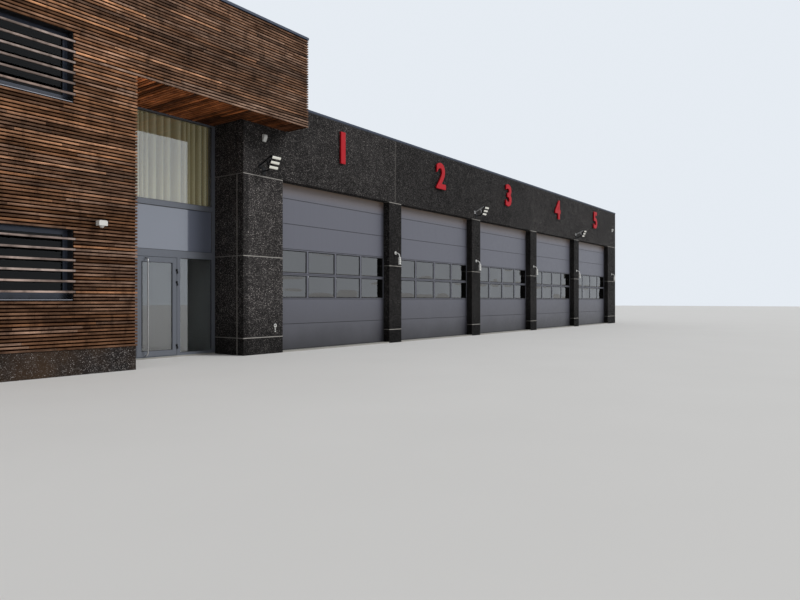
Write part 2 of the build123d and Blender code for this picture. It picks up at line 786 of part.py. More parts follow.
def make_entrance_frame():
    """Upright and level members of the entrance glazing, which butt against each other."""
    with BuildPart() as uprights:
        with BuildSketch(front_plane(y_hall)):
            jambs = [x_entrance + JAMB_WIDTH / 2, x_garage - JAMB_WIDTH / 2]
            with Locations(*[(x, (FLOOR_THICKNESS + z_soffit) / 2) for x in jambs]):
                Rectangle(JAMB_WIDTH, z_soffit - FLOOR_THICKNESS)
            with Locations(*[(x, (FLOOR_THICKNESS + TRANSOM_HEIGHT) / 2) for x in x_posts]):
                Rectangle(POST_WIDTH, TRANSOM_HEIGHT - FLOOR_THICKNESS)
        extrude(amount=FRAME_DEPTH)
    save(uprights, "entrance_mullions")

    with BuildPart() as levels:
        with BuildSketch(front_plane(y_hall)):
            with Locations((x_door_middle, z_head + HEAD_HEIGHT / 2)):
                Rectangle(clear_width, HEAD_HEIGHT)
            with Locations((x_door_middle, MID_RAIL_HEIGHT + MID_RAIL_DEPTH / 2)):
                Rectangle(clear_width, MID_RAIL_DEPTH)
            with Locations((x_door_middle, TRANSOM_HEIGHT + TRANSOM_DEPTH / 2)):
                Rectangle(clear_width, TRANSOM_DEPTH)
            with Locations(*[(x, FLOOR_THICKNESS + SIDELIGHT_SILL / 2) for x in x_sidelights]):
                Rectangle(sidelight_width, SIDELIGHT_SILL)
            with Locations((x_door_middle, FLOOR_THICKNESS + THRESHOLD_HEIGHT / 2)):
                Rectangle(door_opening_width, THRESHOLD_HEIGHT)
        extrude(amount=FRAME_DEPTH)
    save(levels, "entrance_transoms")


def make_entrance_panes():
    """Glass of the sidelights and the upper window, and the solid spandrel in front of the floor edge."""
    pane_front = y_glazing + (FRAME_DEPTH - GLASS_THICKNESS) / 2
    sidelight_low = FLOOR_THICKNESS + SIDELIGHT_SILL
    with BuildPart() as panes:
        with BuildSketch(front_plane(pane_front)):
            with Locations(*[(x, (sidelight_low + TRANSOM_HEIGHT) / 2) for x in x_sidelights]):
                Rectangle(sidelight_width, TRANSOM_HEIGHT - sidelight_low)
            with Locations((x_door_middle, (z_mid_rail_top + z_head) / 2)):
                Rectangle(clear_width, z_head - z_mid_rail_top)
        extrude(amount=-GLASS_THICKNESS)
    save(panes, "entrance_glass")

    spandrel_front = y_glazing + (FRAME_DEPTH - SPANDREL_THICKNESS) / 2
    spandrel = block(
        x_entrance + JAMB_WIDTH,
        x_garage - JAMB_WIDTH,
        spandrel_front,
        spandrel_front + SPANDREL_THICKNESS,
        z_transom_top,
        MID_RAIL_HEIGHT,
    )
    save(spandrel, "spandrel_panel")


# The leaf hangs on the right post and opens outwards
z_leaf = FLOOR_THICKNESS + THRESHOLD_HEIGHT + DOOR_GAP
z_leaf_top = TRANSOM_HEIGHT - DOOR_GAP
leaf_height = z_leaf_top - z_leaf
x_hinge = x_door_middle + DOOR_LEAF_WIDTH / 2 + DOOR_GAP / 2
y_hinge = y_glazing - HINGE_PLATE_THICKNESS - HINGE_RADIUS / 2
leaf_light_width = DOOR_LEAF_WIDTH - 2 * LEAF_STILE
leaf_light_height = leaf_height - LEAF_TOP_RAIL - LEAF_BOTTOM_RAIL
leaf_light_middle = (x_door_middle, z_leaf + LEAF_BOTTOM_RAIL + leaf_light_height / 2)


def make_entrance_door():
    """Door leaf of stiles and rails round one pane."""
    with BuildPart() as leaf:
        with BuildSketch(front_plane(y_glazing)):
            with Locations((x_door_middle, z_leaf + leaf_height / 2)):
                Rectangle(DOOR_LEAF_WIDTH, leaf_height)
            with Locations(leaf_light_middle):
                Rectangle(leaf_light_width, leaf_light_height, mode=Mode.SUBTRACT)
        extrude(amount=-LEAF_THICKNESS)
    save(leaf, "entrance_door")
    with BuildPart() as pane:
        with BuildSketch(front_plane(y_glazing + (LEAF_THICKNESS - GLASS_THICKNESS) / 2)):
            with Locations(leaf_light_middle):
                Rectangle(leaf_light_width, leaf_light_height)
        extrude(amount=-GLASS_THICKNESS)
    save(pane, "entrance_door_glass")


def make_door_pull():
    """Full-height pull bar, bent back at both ends on to the top and bottom rails."""
    x_pull = x_door_middle - DOOR_LEAF_WIDTH / 2 + PULL_FROM_EDGE
    y_bar = y_glazing - PULL_STANDOFF
    z_low = z_leaf + PULL_FROM_ENDS
    z_high = z_leaf_top - PULL_FROM_ENDS
    route = [
        (x_pull, y_glazing, z_low),
        (x_pull, y_bar, z_low),
        (x_pull, y_bar, z_high),
        (x_pull, y_glazing, z_high),
    ]
    with BuildPart() as pull:
        with BuildLine():
            path = FilletPolyline(*route, radius=PULL_BEND)
        with BuildSketch(Plane(origin=path @ 0, z_dir=path % 0)):
            Circle(PULL_DIAMETER / 2)
        sweep()
    save(pull, "door_pull")


def make_hinges():
    """Barrel hinges: a lower knuckle with its pin on the post, an upper knuckle on the leaf."""
    plate_y = (y_glazing - HINGE_PLATE_THICKNESS, y_glazing)
    with BuildPart() as post_halves:
        for z in HINGE_HEIGHTS:
            with BuildSketch(Plane.XY.offset(z - HINGE_KNUCKLE)):
                with Locations((x_hinge, y_hinge)):
                    Circle(HINGE_RADIUS)
                with Locations((x_hinge + HINGE_PLATE_LENGTH / 2, sum(plate_y) / 2)):
                    Rectangle(HINGE_PLATE_LENGTH, HINGE_PLATE_THICKNESS)
            extrude(amount=HINGE_KNUCKLE)
            with BuildSketch(Plane.XY.offset(z)):
                with Locations((x_hinge, y_hinge)):
                    Circle(HINGE_PIN_RADIUS)
            extrude(amount=HINGE_KNUCKLE)
    save(post_halves, "door_hinge_posts")

    with BuildPart() as leaf_halves:
        for z in HINGE_HEIGHTS:
            with BuildSketch(Plane.XY.offset(z + HINGE_PIN_CLEARANCE)):
                with Locations((x_hinge, y_hinge)):
                    Circle(HINGE_RADIUS)
                with Locations((x_hinge - HINGE_PLATE_LENGTH / 2, sum(plate_y) / 2)):
                    Rectangle(HINGE_PLATE_LENGTH, HINGE_PLATE_THICKNESS)
                with Locations((x_hinge, y_hinge)):
                    Circle(HINGE_PIN_RADIUS + HINGE_PIN_CLEARANCE, mode=Mode.SUBTRACT)
            extrude(amount=HINGE_KNUCKLE)
    save(leaf_halves, "door_hinge_leaves")


def make_curtain():
    """Curtain rail on the back of the head member, and the curtain that hangs from it."""
    x_low = x_entrance + CURTAIN_SIDE_GAP
    x_high = x_garage - CURTAIN_SIDE_GAP
    rail = block(x_low, x_high, y_hall, y_hall + CURTAIN_DEPTH, z_head, z_head + CURTAIN_RAIL)
    save(rail, "curtain_rail")
    curtain = block(
        x_low, x_high, y_hall, y_hall + CURTAIN_DEPTH, UPPER_FLOOR_HEIGHT + CURTAIN_FLOOR_GAP, z_head
    )
    save(curtain, "curtain")


def make_floodlights():
    """Three-module floodlights on cranked arms, over every second pier."""
    positions = [x_garage + CORNER_PIER_WIDTH / 2] + pier_centres[1::2]
    width, height, depth = FLOODLIGHT_MODULE
    spine_width, spine_depth = FLOODLIGHT_SPINE
    plate_width, plate_height, plate_depth = WALL_PLATE
    tilt = math.radians(FLOODLIGHT_TILT)
    with BuildPart() as lights:
        for x in positions:
            head = Plane(
                origin=(x, y_front - FLOODLIGHT_REACH, z_floodlight),
                x_dir=(1, 0, 0),
                z_dir=(0, -math.cos(tilt), -math.sin(tilt)),
            )
            with BuildSketch(head):
                with GridLocations(0, FLOODLIGHT_MODULE_PITCH, 1, 3):
                    Rectangle(width, height)
            extrude(amount=depth)
            with BuildSketch(head):
                Rectangle(spine_width, 2 * FLOODLIGHT_MODULE_PITCH + height)
            extrude(amount=-spine_depth)
            z_plate = z_floodlight - FLOODLIGHT_ARM_DROP
            with BuildSketch(front_plane(y_front)):
                with Locations((x, z_plate)):
                    Rectangle(plate_width, plate_height)
            extrude(amount=plate_depth)
            spine_top = head.origin + head.y_dir * FLOODLIGHT_MODULE_PITCH
            with BuildLine():
                arm = FilletPolyline(
                    (x, y_front - plate_depth / 2, z_plate),
                    (x, y_front - FLOODLIGHT_REACH / 2, z_plate),
                    spine_top - head.z_dir * spine_depth / 2,
                    radius=FLOODLIGHT_ARM_DIAMETER,
                )
            with BuildSketch(Plane(origin=arm @ 0, z_dir=arm % 0)):
                Circle(FLOODLIGHT_ARM_DIAMETER / 2)
            sweep(path=arm)
    save(lights, "floodlights")


def make_pier_lamps():
    """Swan-neck lamps with a ribbed body, one on each pier right of the first bay."""
    positions = pier_centres + [x_end - CORNER_PIER_WIDTH / 2]
    plate_depth = WALL_PLATE[2]
    ribs = [
        (
            PIER_LAMP_BODY_RADIUS - step % 2 * PIER_LAMP_RIB_DEPTH,
            -PIER_LAMP_SHOULDER - step * PIER_LAMP_RIB_PITCH / 2,
        )
        for step in range(2 * PIER_LAMP_RIBS)
    ]
    outline = [
        (0, 0),
        (PIER_LAMP_NECK_RADIUS, 0),
        *ribs,
        (PIER_LAMP_BODY_RADIUS, -PIER_LAMP_BODY_HEIGHT),
        (0, -PIER_LAMP_BODY_HEIGHT),
    ]
    with BuildPart() as lamps:
        for x in positions:
            y_axis = y_front - PIER_LAMP_REACH
            z_body = PIER_LAMP_HEIGHT - PIER_LAMP_DROP
            with BuildSketch(Plane(origin=(x, y_axis, z_body), x_dir=(1, 0, 0), z_dir=(0, -1, 0))):
                with BuildLine():
                    Polyline(*outline, close=True)
                make_face()
            revolve(axis=Axis((x, y_axis, 0), (0, 0, 1)))
            with BuildLine():
                neck = Spline(
                    (x, y_front - plate_depth / 2, PIER_LAMP_HEIGHT),
                    (x, y_axis, z_body - PIER_LAMP_SHOULDER / 2),
                    tangents=[(0, -1, 0), (0, 0, -1)],
                )
            with BuildSketch(Plane(origin=neck @ 0, z_dir=neck % 0)):
                Circle(PIER_LAMP_NECK_RADIUS)
            sweep(path=neck)
            with BuildSketch(front_plane(y_front)):
                with Locations((x, PIER_LAMP_HEIGHT)):
                    Circle(PIER_LAMP_PLATE_RADIUS)
            extrude(amount=plate_depth)
    save(lamps, "pier_lamps")


def make_wall_sensors():
    """Small wedge-shaped detectors high on the fascia near both ends."""
    width, depth, height = SENSOR_BODY
    z_low = SENSOR_HEIGHT - height / 2
    z_high = SENSOR_HEIGHT + height / 2
    outline = [
        (y_front, z_low),
        (y_front - SENSOR_FOOT, z_low),
        (y_front - depth, z_low + SENSOR_CHIN),
        (y_front - depth, z_high - SENSOR_BROW),
        (y_front - depth + SENSOR_BROW, z_high),
        (y_front, z_high),
    ]
    with BuildPart() as sensors:
        for x in (x_garage + SENSOR_FROM_CORNER, x_end - SENSOR_FROM_CORNER):
            with BuildSketch(Plane.YZ.offset(x - width / 2)):
                with BuildLine():
                    Polyline(*outline, close=True)
                make_face()
            extrude(amount=width)
    save(sensors, "wall_sensors")


def make_wall_camera():
    """White camera housing on a short stem, with a dome under it, on the timber wall by the entrance."""
    width, depth, height = CAMERA_BODY
    x = x_entrance - CAMERA_FROM_CORNER
    y_middle = y_timber - CAMERA_STANDOFF - depth / 2
    with BuildPart() as camera:
        with BuildSketch(front_plane(y_timber)):
            with Locations((x, CAMERA_HEIGHT)):
                Circle(CAMERA_STEM_RADIUS)
        extrude(amount=CAMERA_STANDOFF)
        with Locations((x, y_middle, CAMERA_HEIGHT)):
            Box(width, depth, height)
        fillet(camera.edges().filter_by(Axis.Y).group_by(Axis.Z)[-1], CAMERA_ROUNDING)
        with Locations((x, y_middle, CAMERA_HEIGHT - height / 2)):
            Sphere(CAMERA_DOME_RADIUS)
    save(camera, "wall_camera")


def make_supply_caps():
    """A round cover with a sunk middle and two small caps under it, low on the left corner pier."""
    x = x_garage + SUPPLY_CAP_FROM_CORNER
    cover_height, cover_radius, recess_radius = SUPPLY_COVER
    with BuildPart() as caps:
        for height, radius in ((cover_height, cover_radius), *SUPPLY_CAPS):
            with BuildSketch(front_plane(y_front)):
                with Locations((x, height)):
                    Circle(radius)
            extrude(amount=SUPPLY_CAP_DEPTH, taper=SUPPLY_CAP_TAPER)
        with BuildSketch(front_plane(y_front - SUPPLY_CAP_DEPTH)):
            with Locations((x, cover_height)):
                Circle(recess_radius)
        extrude(amount=-SUPPLY_COVER_RECESS, mode=Mode.SUBTRACT)
    save(caps, "supply_caps")


def main():
    make_piers()
    make_fascia_panels()
    make_garage_walls()
    make_garage_roof()
    make_bay_doors()
    make_bay_door_glass()
    make_garage_coping()
    make_plinth()
    make_wing_walls()
    make_overhang_walls()
    make_entrance_header()
    make_cladding()
    make_soffit()
    make_ground_floor()
    make_wing_floor_and_roof()
    make_wing_coping()
    make_louvres()
    make_wing_windows()
    make_entrance_frame()
    make_entrance_panes()
    make_entrance_door()
    make_door_pull()
    make_hinges()
    make_curtain()
    make_floodlights()
    make_pier_lamps()
    make_wall_sensors()
    make_wall_camera()
    make_supply_caps()


main()
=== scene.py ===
import functools
import math

import bpy
import numpy as np
from bpy.props import FloatProperty, FloatVectorProperty, IntProperty, PointerProperty
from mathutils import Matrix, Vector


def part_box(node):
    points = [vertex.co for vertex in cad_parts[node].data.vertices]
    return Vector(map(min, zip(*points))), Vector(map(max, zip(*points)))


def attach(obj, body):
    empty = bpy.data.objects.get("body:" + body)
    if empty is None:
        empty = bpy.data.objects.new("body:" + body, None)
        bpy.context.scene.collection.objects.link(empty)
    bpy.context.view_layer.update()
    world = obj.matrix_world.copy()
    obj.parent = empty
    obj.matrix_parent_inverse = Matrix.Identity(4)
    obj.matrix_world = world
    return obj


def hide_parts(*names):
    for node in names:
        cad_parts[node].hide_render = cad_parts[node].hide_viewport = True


bl_info = {
    "name": "Fire station dressing",
    "version": (1, 0, 0),
    "blender": (4, 5, 0),
    "location": "View3D > Sidebar > Fire station",
    "description": "Slats, panes, seals, signs and finishes for the fire station building",
    "category": "Object",
}

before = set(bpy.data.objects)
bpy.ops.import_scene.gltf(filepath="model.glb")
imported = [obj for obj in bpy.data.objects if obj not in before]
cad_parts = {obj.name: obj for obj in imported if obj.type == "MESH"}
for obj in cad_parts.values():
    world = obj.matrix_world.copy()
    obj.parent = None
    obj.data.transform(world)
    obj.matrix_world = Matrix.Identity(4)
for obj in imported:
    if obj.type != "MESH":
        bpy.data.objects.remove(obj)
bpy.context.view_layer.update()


# Places read from the frame, in metres
def place(node):
    """Lowest and highest corner of a CAD node, as arrays."""
    low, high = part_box(node)
    return np.array(low), np.array(high)


BAY_COUNT = 5
DOOR_LAP = 0.04
(X_GARAGE, Y_FRONT, _), (X_END, Y_PANEL_BACK, Z_LINTEL) = place("door_piers")
(X_WING, Y_TIMBER, Z_PLINTH), (X_OVERHANG, Y_TIMBER_BACK, Z_TIMBER_TOP) = place("front_cladding")
(_, Y_GLAZING, _), (_, Y_HALL, _) = place("entrance_mullions")
(_, _, Z_SOFFIT), (_, _, Z_SOFFIT_TOP) = place("entrance_soffit")
Z_PARAPET = place("fascia_panels")[1][2]
Z_COPING_TOP = place("garage_coping")[1][2]
Y_REAR = place("rear_cladding")[1][1]
X_ENTRANCE = place("recess_cladding")[1][0]
FLOOR_TOP = place("ground_floor")[1][2]
CLADDING_DEPTH = Y_TIMBER_BACK - Y_TIMBER
DOORS = [place(f"bay_door_{bay + 1}") for bay in range(BAY_COUNT)]
OPENINGS = [(low[0] + DOOR_LAP, high[0] - DOOR_LAP) for low, high in DOORS]
BAY_CENTRES = [(low + high) / 2 for low, high in OPENINGS]
PIER_EDGES = list(zip([X_GARAGE] + [high for _, high in OPENINGS], [low for low, _ in OPENINGS] + [X_END]))
PIER_CENTRES = [(low + high) / 2 for low, high in PIER_EDGES]

# Rows of timber slats, counted from the plinth
SLAT_ROWS = 118
SOFFIT_ROW = 83
WINDOW_ROWS = ((14, 34), (70, 90))
LOUVRE_STEP = 3
SLAT_PITCH = (Z_TIMBER_TOP - Z_PLINTH) / SLAT_ROWS

# Windows, as low and high along their wall
WINDOW_HIGH = place("window_frames")[1][0]
FRONT_WINDOW = (X_WING + X_ENTRANCE - WINDOW_HIGH, WINDOW_HIGH)
HALF_WINDOW = (FRONT_WINDOW[1] - FRONT_WINDOW[0]) / 2
Y_MIDDLE = (Y_TIMBER + Y_REAR) / 2
SIDE_WINDOW = (Y_MIDDLE - HALF_WINDOW, Y_MIDDLE + HALF_WINDOW)
WINDOW_SETBACK = 0.2

# Clad faces, as the direction along, a point on the face at the ground and the way out
X, Y, Z = np.eye(3)
FRONT = (X, Y * Y_TIMBER, -Y)
REAR = (X, Y * Y_REAR, Y)
SIDE = (Y, X * X_WING, -X)
RECESS = (Y, X * X_ENTRANCE, X)
OVERHANG = (Y, X * X_OVERHANG, X)

# Precast joints
JOINT_WIDTH = 0.02
JOINT_DEPTH = 0.012
SEALANT_SINK = 0.004
BASE_JOINT = 0.39
JOINT_HEIGHTS = (BASE_JOINT, (BASE_JOINT + Z_LINTEL) / 2, Z_LINTEL - JOINT_WIDTH / 2)


def linear(red, green, blue):
    """A colour given as 0 to 255 screen values, as linear light."""
    share = np.array([red, green, blue]) / 255
    return tuple(np.where(share <= 0.04045, share / 12.92, ((share + 0.055) / 1.055) ** 2.4))


def length(name, description, default):
    """A length that a user can change, in metres."""
    return FloatProperty(name=name, description=description, default=default, unit="LENGTH")


def tint(name, description, *screen):
    """A colour that a user can change, from its 0 to 255 screen values."""
    return FloatVectorProperty(name=name, description=description, subtype="COLOR", default=linear(*screen))


class StationSizes(bpy.types.PropertyGroup):
    """Sizes of the dressing that a user would change."""

    slat_height: length("Slat height", "Face height of a timber slat", 0.034)
    slat_depth: length("Slat depth", "Thickness of a timber slat", 0.028)
    board_length: length("Board length", "Longest board between two butt joints", 3.4)
    soffit_pitch: length("Soffit pitch", "Spacing of the soffit boards", 0.084)
    batten_spacing: length("Batten spacing", "Spacing of the upright battens", 0.6)
    pane_bulge: length("Pane bulge", "How far the bay door panes swell", 0.013)
    pleat_count: IntProperty(name="Pleats", description="Pleats in the curtain", default=17)
    numeral_height: length("Numeral height", "Height of the bay numbers", 0.84)
    numeral_foot: length("Numeral foot", "Height of their foot above the ground", 4.86)
    eye_height: length("Eye height", "Camera height above the ground", 1.253)
    focal_length: FloatProperty(
        name="Focal length", description="Lens of the camera in millimetres", default=28.94, unit="CAMERA")


class StationColours(bpy.types.PropertyGroup):
    """Main colours of the dressing."""

    timber: tint("Timber", "Mean colour of the slats", 106, 69, 41)
    soffit: tint("Soffit", "Mean colour of the soffit boards", 172, 102, 60)
    aggregate: tint("Aggregate", "Cement between the pebbles", 32, 30, 30)
    doors: tint("Doors", "Enamel of the bay doors", 92, 93, 103)
    frames: tint("Frames", "Coating of the entrance frames", 100, 104, 112)
    signs: tint("Signs", "Enamel of the bay numbers", 172, 10, 26)
    sealant: tint("Sealant", "Joints between the precast panels", 163, 159, 153)


def sizes():
    return bpy.context.scene.station_sizes


def colours():
    return bpy.context.scene.station_colours


# Node trees
def maths(operation, turned=False):
    """A method that puts a maths node after a value and another one, which comes first if they are turned."""
    def method(self, other=0.0):
        first, second = (other, self) if turned else (self, other)
        return self.nodes.add("Math", {0: first, 1: second}, operation=operation)
    return method


class Value:
    """An output of a node. What is done with it adds the next node."""

    def __init__(self, nodes, socket):
        self.nodes, self.socket = nodes, socket

    __add__ = __radd__ = maths("ADD")
    __mul__ = maths("MULTIPLY")
    __sub__ = maths("SUBTRACT")
    __rsub__ = maths("SUBTRACT", True)
    __rtruediv__ = maths("DIVIDE", True)
    __abs__ = maths("ABSOLUTE")
    above = maths("GREATER_THAN")
    below = maths("LESS_THAN")
    greatest = maths("MAXIMUM")

    def vector(self, operation, other, output=0):
        return self.nodes.add("VectorMath", {0: self, 1: other}, output, operation=operation)

    def times(self, share):
        """A colour or vector multiplied by a share."""
        return self.nodes.add("VectorMath", {0: self, "Scale": share}, operation="SCALE")

    def parts(self, kind="XYZ"):
        """The three parts of a vector, or of a Color."""
        return self.nodes.add("Separate" + kind, {0: self}, (0, 1, 2))

    def mapped(self, low, high, to_low=0.0, to_high=1.0, **settings):
        """The value carried from one range to another, and held at its ends."""
        return self.nodes.add("MapRange", {0: self, 1: low, 2: high, 3: to_low, 4: to_high}, **settings)

    def between(self, low, high):
        """A value from 0 to 1, carried to another range."""
        return self.mapped(0.0, 1.0, low, high)

    def mix(self, first, second):
        """The first colour where the value is 0, and the second where it is 1."""
        return self.nodes.add("Mix", {0: self, 6: first, 7: second}, 2, data_type="RGBA")

    def ramp(self, stops, interpolation="LINEAR"):
        """A colour ramp through the given (position, colour or grey) stops."""
        made = self.nodes.add("ValToRGB", {0: self})
        colour_ramp = made.socket.node.color_ramp
        colour_ramp.interpolation = interpolation
        while len(colour_ramp.elements) < len(stops):
            colour_ramp.elements.new(0.5)
        for element, (position, colour) in zip(colour_ramp.elements, stops):
            element.position = position
            element.color = (*((colour,) * 3 if isinstance(colour, float) else colour), 1.0)
        return made


class Nodes:
    """Adds nodes to a tree. at is the vector that its textures read, and ends are the inputs that it feeds."""

    def __init__(self, tree, at, ends):
        self.tree, self.ends = tree, ends
        self.at = Value(self, at)

    def feed(self, socket, value):
        """Links or sets one input."""
        if isinstance(value, Value):
            self.tree.links.new(value.socket, socket)
        elif socket.type == "RGBA" and len(value) == 3:
            socket.default_value = (*value, 1.0)
        else:
            socket.default_value = value

    def give(self, **values):
        """Feeds the ends that are named, with an underscore for each space, and returns the nodes."""
        for label, value in values.items():
            self.feed(self.ends[label.replace("_", " ")], value)
        return self

    def add(self, kind, inputs=None, output=0, **settings):
        """A node with its settings and its named or numbered inputs. Returns one output, or each of a tuple."""
        made = self.tree.nodes.new("ShaderNode" + kind)
        for name, value in settings.items():
            setattr(made, name, value)
        for name, value in (inputs or {}).items():
            self.feed(made.inputs[name], value)
        if isinstance(output, tuple):
            return [Value(self, made.outputs[each]) for each in output]
        return Value(self, made.outputs[output])

    def noise(self, scale, detail=3.0, roughness=0.5, distortion=0.0, at=None):
        """A noise texture. scale is per metre, for all axes or for each of them."""
        at = at or self.at
        if isinstance(scale, tuple):
            at, scale = at.vector("MULTIPLY", scale), 1.0
        return self.add("TexNoise", {"Vector": at, "Scale": scale, "Detail": detail, "Roughness": roughness,
                                     "Distortion": distortion})

    def group(self, name, **inputs):
        """A shared node group, its tree made on first use. Returns its outputs by name."""
        made = self.tree.nodes.new("ShaderNodeGroup")
        made.node_tree = bpy.data.node_groups.get(name) or GROUP_MAKERS[name](name).tree
        for label, value in {"Vector": self.at, **inputs}.items():
            self.feed(made.inputs[label.replace("_", " ")], value)
        return {socket.name: Value(self, socket) for socket in made.outputs}

    def bump(self, height, distance):
        """The normal of a surface with a height, in the given distance."""
        return self.add("Bump", {"Height": height, "Distance": distance})


class Group(Nodes):
    """A new shared group that reads a vector and other inputs, each with its default. given holds them."""

    def __init__(self, name, inputs, outputs):
        tree = bpy.data.node_groups.new(name, "ShaderNodeTree")
        new_socket = tree.interface.new_socket
        new_socket(name="Vector", in_out="INPUT", socket_type="NodeSocketVector")
        for label, default in inputs.items():
            kind = "Color" if isinstance(default, tuple) else "Float"
            new_socket(name=label, in_out="INPUT", socket_type="NodeSocket" + kind).default_value = default
        for label in outputs:
            kind = "Color" if label == "Color" else "Float"
            new_socket(name=label, in_out="OUTPUT", socket_type="NodeSocket" + kind)
        given = tree.nodes.new("NodeGroupInput").outputs
        super().__init__(tree, given["Vector"], tree.nodes.new("NodeGroupOutput").inputs)
        self.given = {label: Value(self, given[label]) for label in inputs}


class Surface(Nodes):
    """A new material with one Principled BSDF. Its textures read Object coordinates."""

    def __init__(self, name, colour, roughness=0.5, metallic=0.0, **sockets):
        self.material = bpy.data.materials.new(name)
        self.material.use_nodes = True
        colour = tuple(colour)[:3]
        self.material.diffuse_color = (*colour, 1.0)
        tree = self.material.node_tree
        super().__init__(tree, tree.nodes.new("ShaderNodeTexCoord").outputs["Object"],
                         tree.nodes["Principled BSDF"].inputs)
        self.give(Base_Color=colour, Roughness=roughness, Metallic=metallic, **sockets)


def pebble_group(name):
    """Exposed aggregate: rounded pebbles of mixed greys, pressed into dark cement."""
    made = Group(name, {"Pebble size": 0.014, "Cement": (0.03, 0.03, 0.03, 1), "Brightness": 1.0},
                 ("Color", "Height", "Roughness"))
    wobble = made.add("TexNoise", {"Vector": made.at, "Scale": 60.0, "Detail": 1.0}, "Color")
    tone, away = made.add("TexVoronoi", {
        "Vector": made.at.vector("ADD", wobble.vector("MULTIPLY", (0.006, 0.006, 0.006))),
        "Scale": 1.0 / made.given["Pebble size"]}, ("Color", "Distance"))
    stone = tone.parts("Color")[0].ramp([
        (0.0, linear(25, 23, 23)), (0.24, linear(46, 44, 43)), (0.5, linear(74, 71, 69)),
        (0.74, linear(103, 99, 97)), (0.88, linear(126, 122, 119)), (0.96, linear(148, 143, 139)),
    ], "CONSTANT")
    body = (1.0 - away * 1.35).mapped(0.28, 0.6, interpolation_type="SMOOTHSTEP")
    cloud = made.noise(3.2, 4.0).mapped(0.35, 0.65, 0.85, 1.17)
    clump = made.noise(9.0, 5.0, 0.85).mapped(0.34, 0.66, 0.42, 1.62)
    shade = cloud * clump * made.given["Brightness"]
    return made.give(Color=body.mix(made.given["Cement"], stone).times(shade),
                     Height=body + made.noise(260.0, 2.0) * 0.25, Roughness=body.between(0.92, 0.55))


def grain_group(name):
    """Wood grain along a board: long fibres, growth bands and pores, from a vector in metres with x along."""
    made = Group(name, {"Seed": 0.0}, ("Fibre", "Height"))
    seed = made.given["Seed"]
    made.at = made.at.vector("ADD", made.add("CombineXYZ", {0: seed * 37.0, 1: seed * 3.7, 2: seed * 11.0}))
    bands = made.noise((1.6, 42.0, 42.0), 3.0, 0.55, 0.6)
    fibres = made.noise((9.0, 420.0, 420.0), 2.0, 0.6)
    patches = made.noise((2.4, 6.0, 6.0), 3.0, 0.6)
    return made.give(Fibre=(bands * 0.35 + fibres * 0.2 + patches * 0.45).mapped(0.36, 0.64),
                     Height=bands * 0.4 + fibres * 0.6)


def weather_group(name):
    """Rain marks and dust: soft patches, and streaks that run down the surface."""
    made = Group(name, {"Streak width": 0.05}, ("Streaks", "Dust"))
    across = 1.0 / made.given["Streak width"]
    stretched = made.at.vector("MULTIPLY", made.add("CombineXYZ", {0: across, 1: across, 2: 0.55}))
    return made.give(Streaks=made.noise(1.0, 3.0, 0.6, at=stretched).mapped(0.42, 0.75),
                     Dust=made.noise(0.9, 5.0, 0.6).mapped(0.38, 0.7))


def skin_group(name):
    """Orange peel of a coated sheet: a fine even dimple and a slow wave."""
    made = Group(name, {"Dimple": 0.004}, ("Height", "Wear"))
    fine = made.noise(1.0 / made.given["Dimple"], 1.0)
    return made.give(Height=fine * 0.15 + made.noise(2.2, 2.0), Wear=made.noise(6.0, 4.0, 0.65))


GROUP_MAKERS = {"Pebble aggregate": pebble_group, "Wood grain": grain_group,
                "Weathering": weather_group, "Coated skin": skin_group}


# Materials
def scaled(colour, share):
    """A colour times a share, or times one for each channel."""
    return tuple(np.array(tuple(colour)[:3]) * share)


def precast_material(name="Exposed aggregate", brightness=1.0, tones=((0.0, 1.0),), dusting=0.06,
                     dust=linear(116, 113, 112), foot=0.36, hall=False):
    """Panels of exposed aggregate. tones gives the tone of the panels that start at each place along x,
    dusting the share of dust that lies on them and foot the tone of their darker foot, which ends a metre up.
    The foot is partly damp and partly painted shade near the ground.
    hall plasters the face that looks into the entrance hall."""
    cement = tuple(colours().aggregate)
    made = Surface(name, cement, 0.8, Specular_IOR_Level=0.1)
    x, y, z = made.at.parts()
    last = X_END + 0.1
    stops = [((max(start, X_WING) - X_WING) / (last - X_WING), float(tone)) for start, tone in tones]
    panel = x.mapped(X_WING, last).ramp(stops, "CONSTANT") * brightness
    pebbles = made.group("Pebble aggregate", Pebble_size=0.018, Cement=cement, Brightness=panel)
    weather = made.group("Weathering", Streak_width=0.07)
    dark = (weather["Streaks"] * 0.35).mix(pebbles["Color"], scaled(cement, 0.55))
    # The foot darkens up to a metre: partly damp, partly painted shade near the ground
    surface = (weather["Dust"] * dusting).mix(dark, dust).times(z.mapped(0.25, 1.1, foot, 1.0))
    height = pebbles["Height"]
    if hall:
        inside = x.below(X_GARAGE + 0.05) * y.above(Y_HALL - 0.002)
        surface = inside.mix(surface, linear(214, 216, 212))
        height = height * (1.0 - inside)
    return made.give(Base_Color=surface, Roughness=pebbles["Roughness"], Normal=made.bump(height, 0.004))


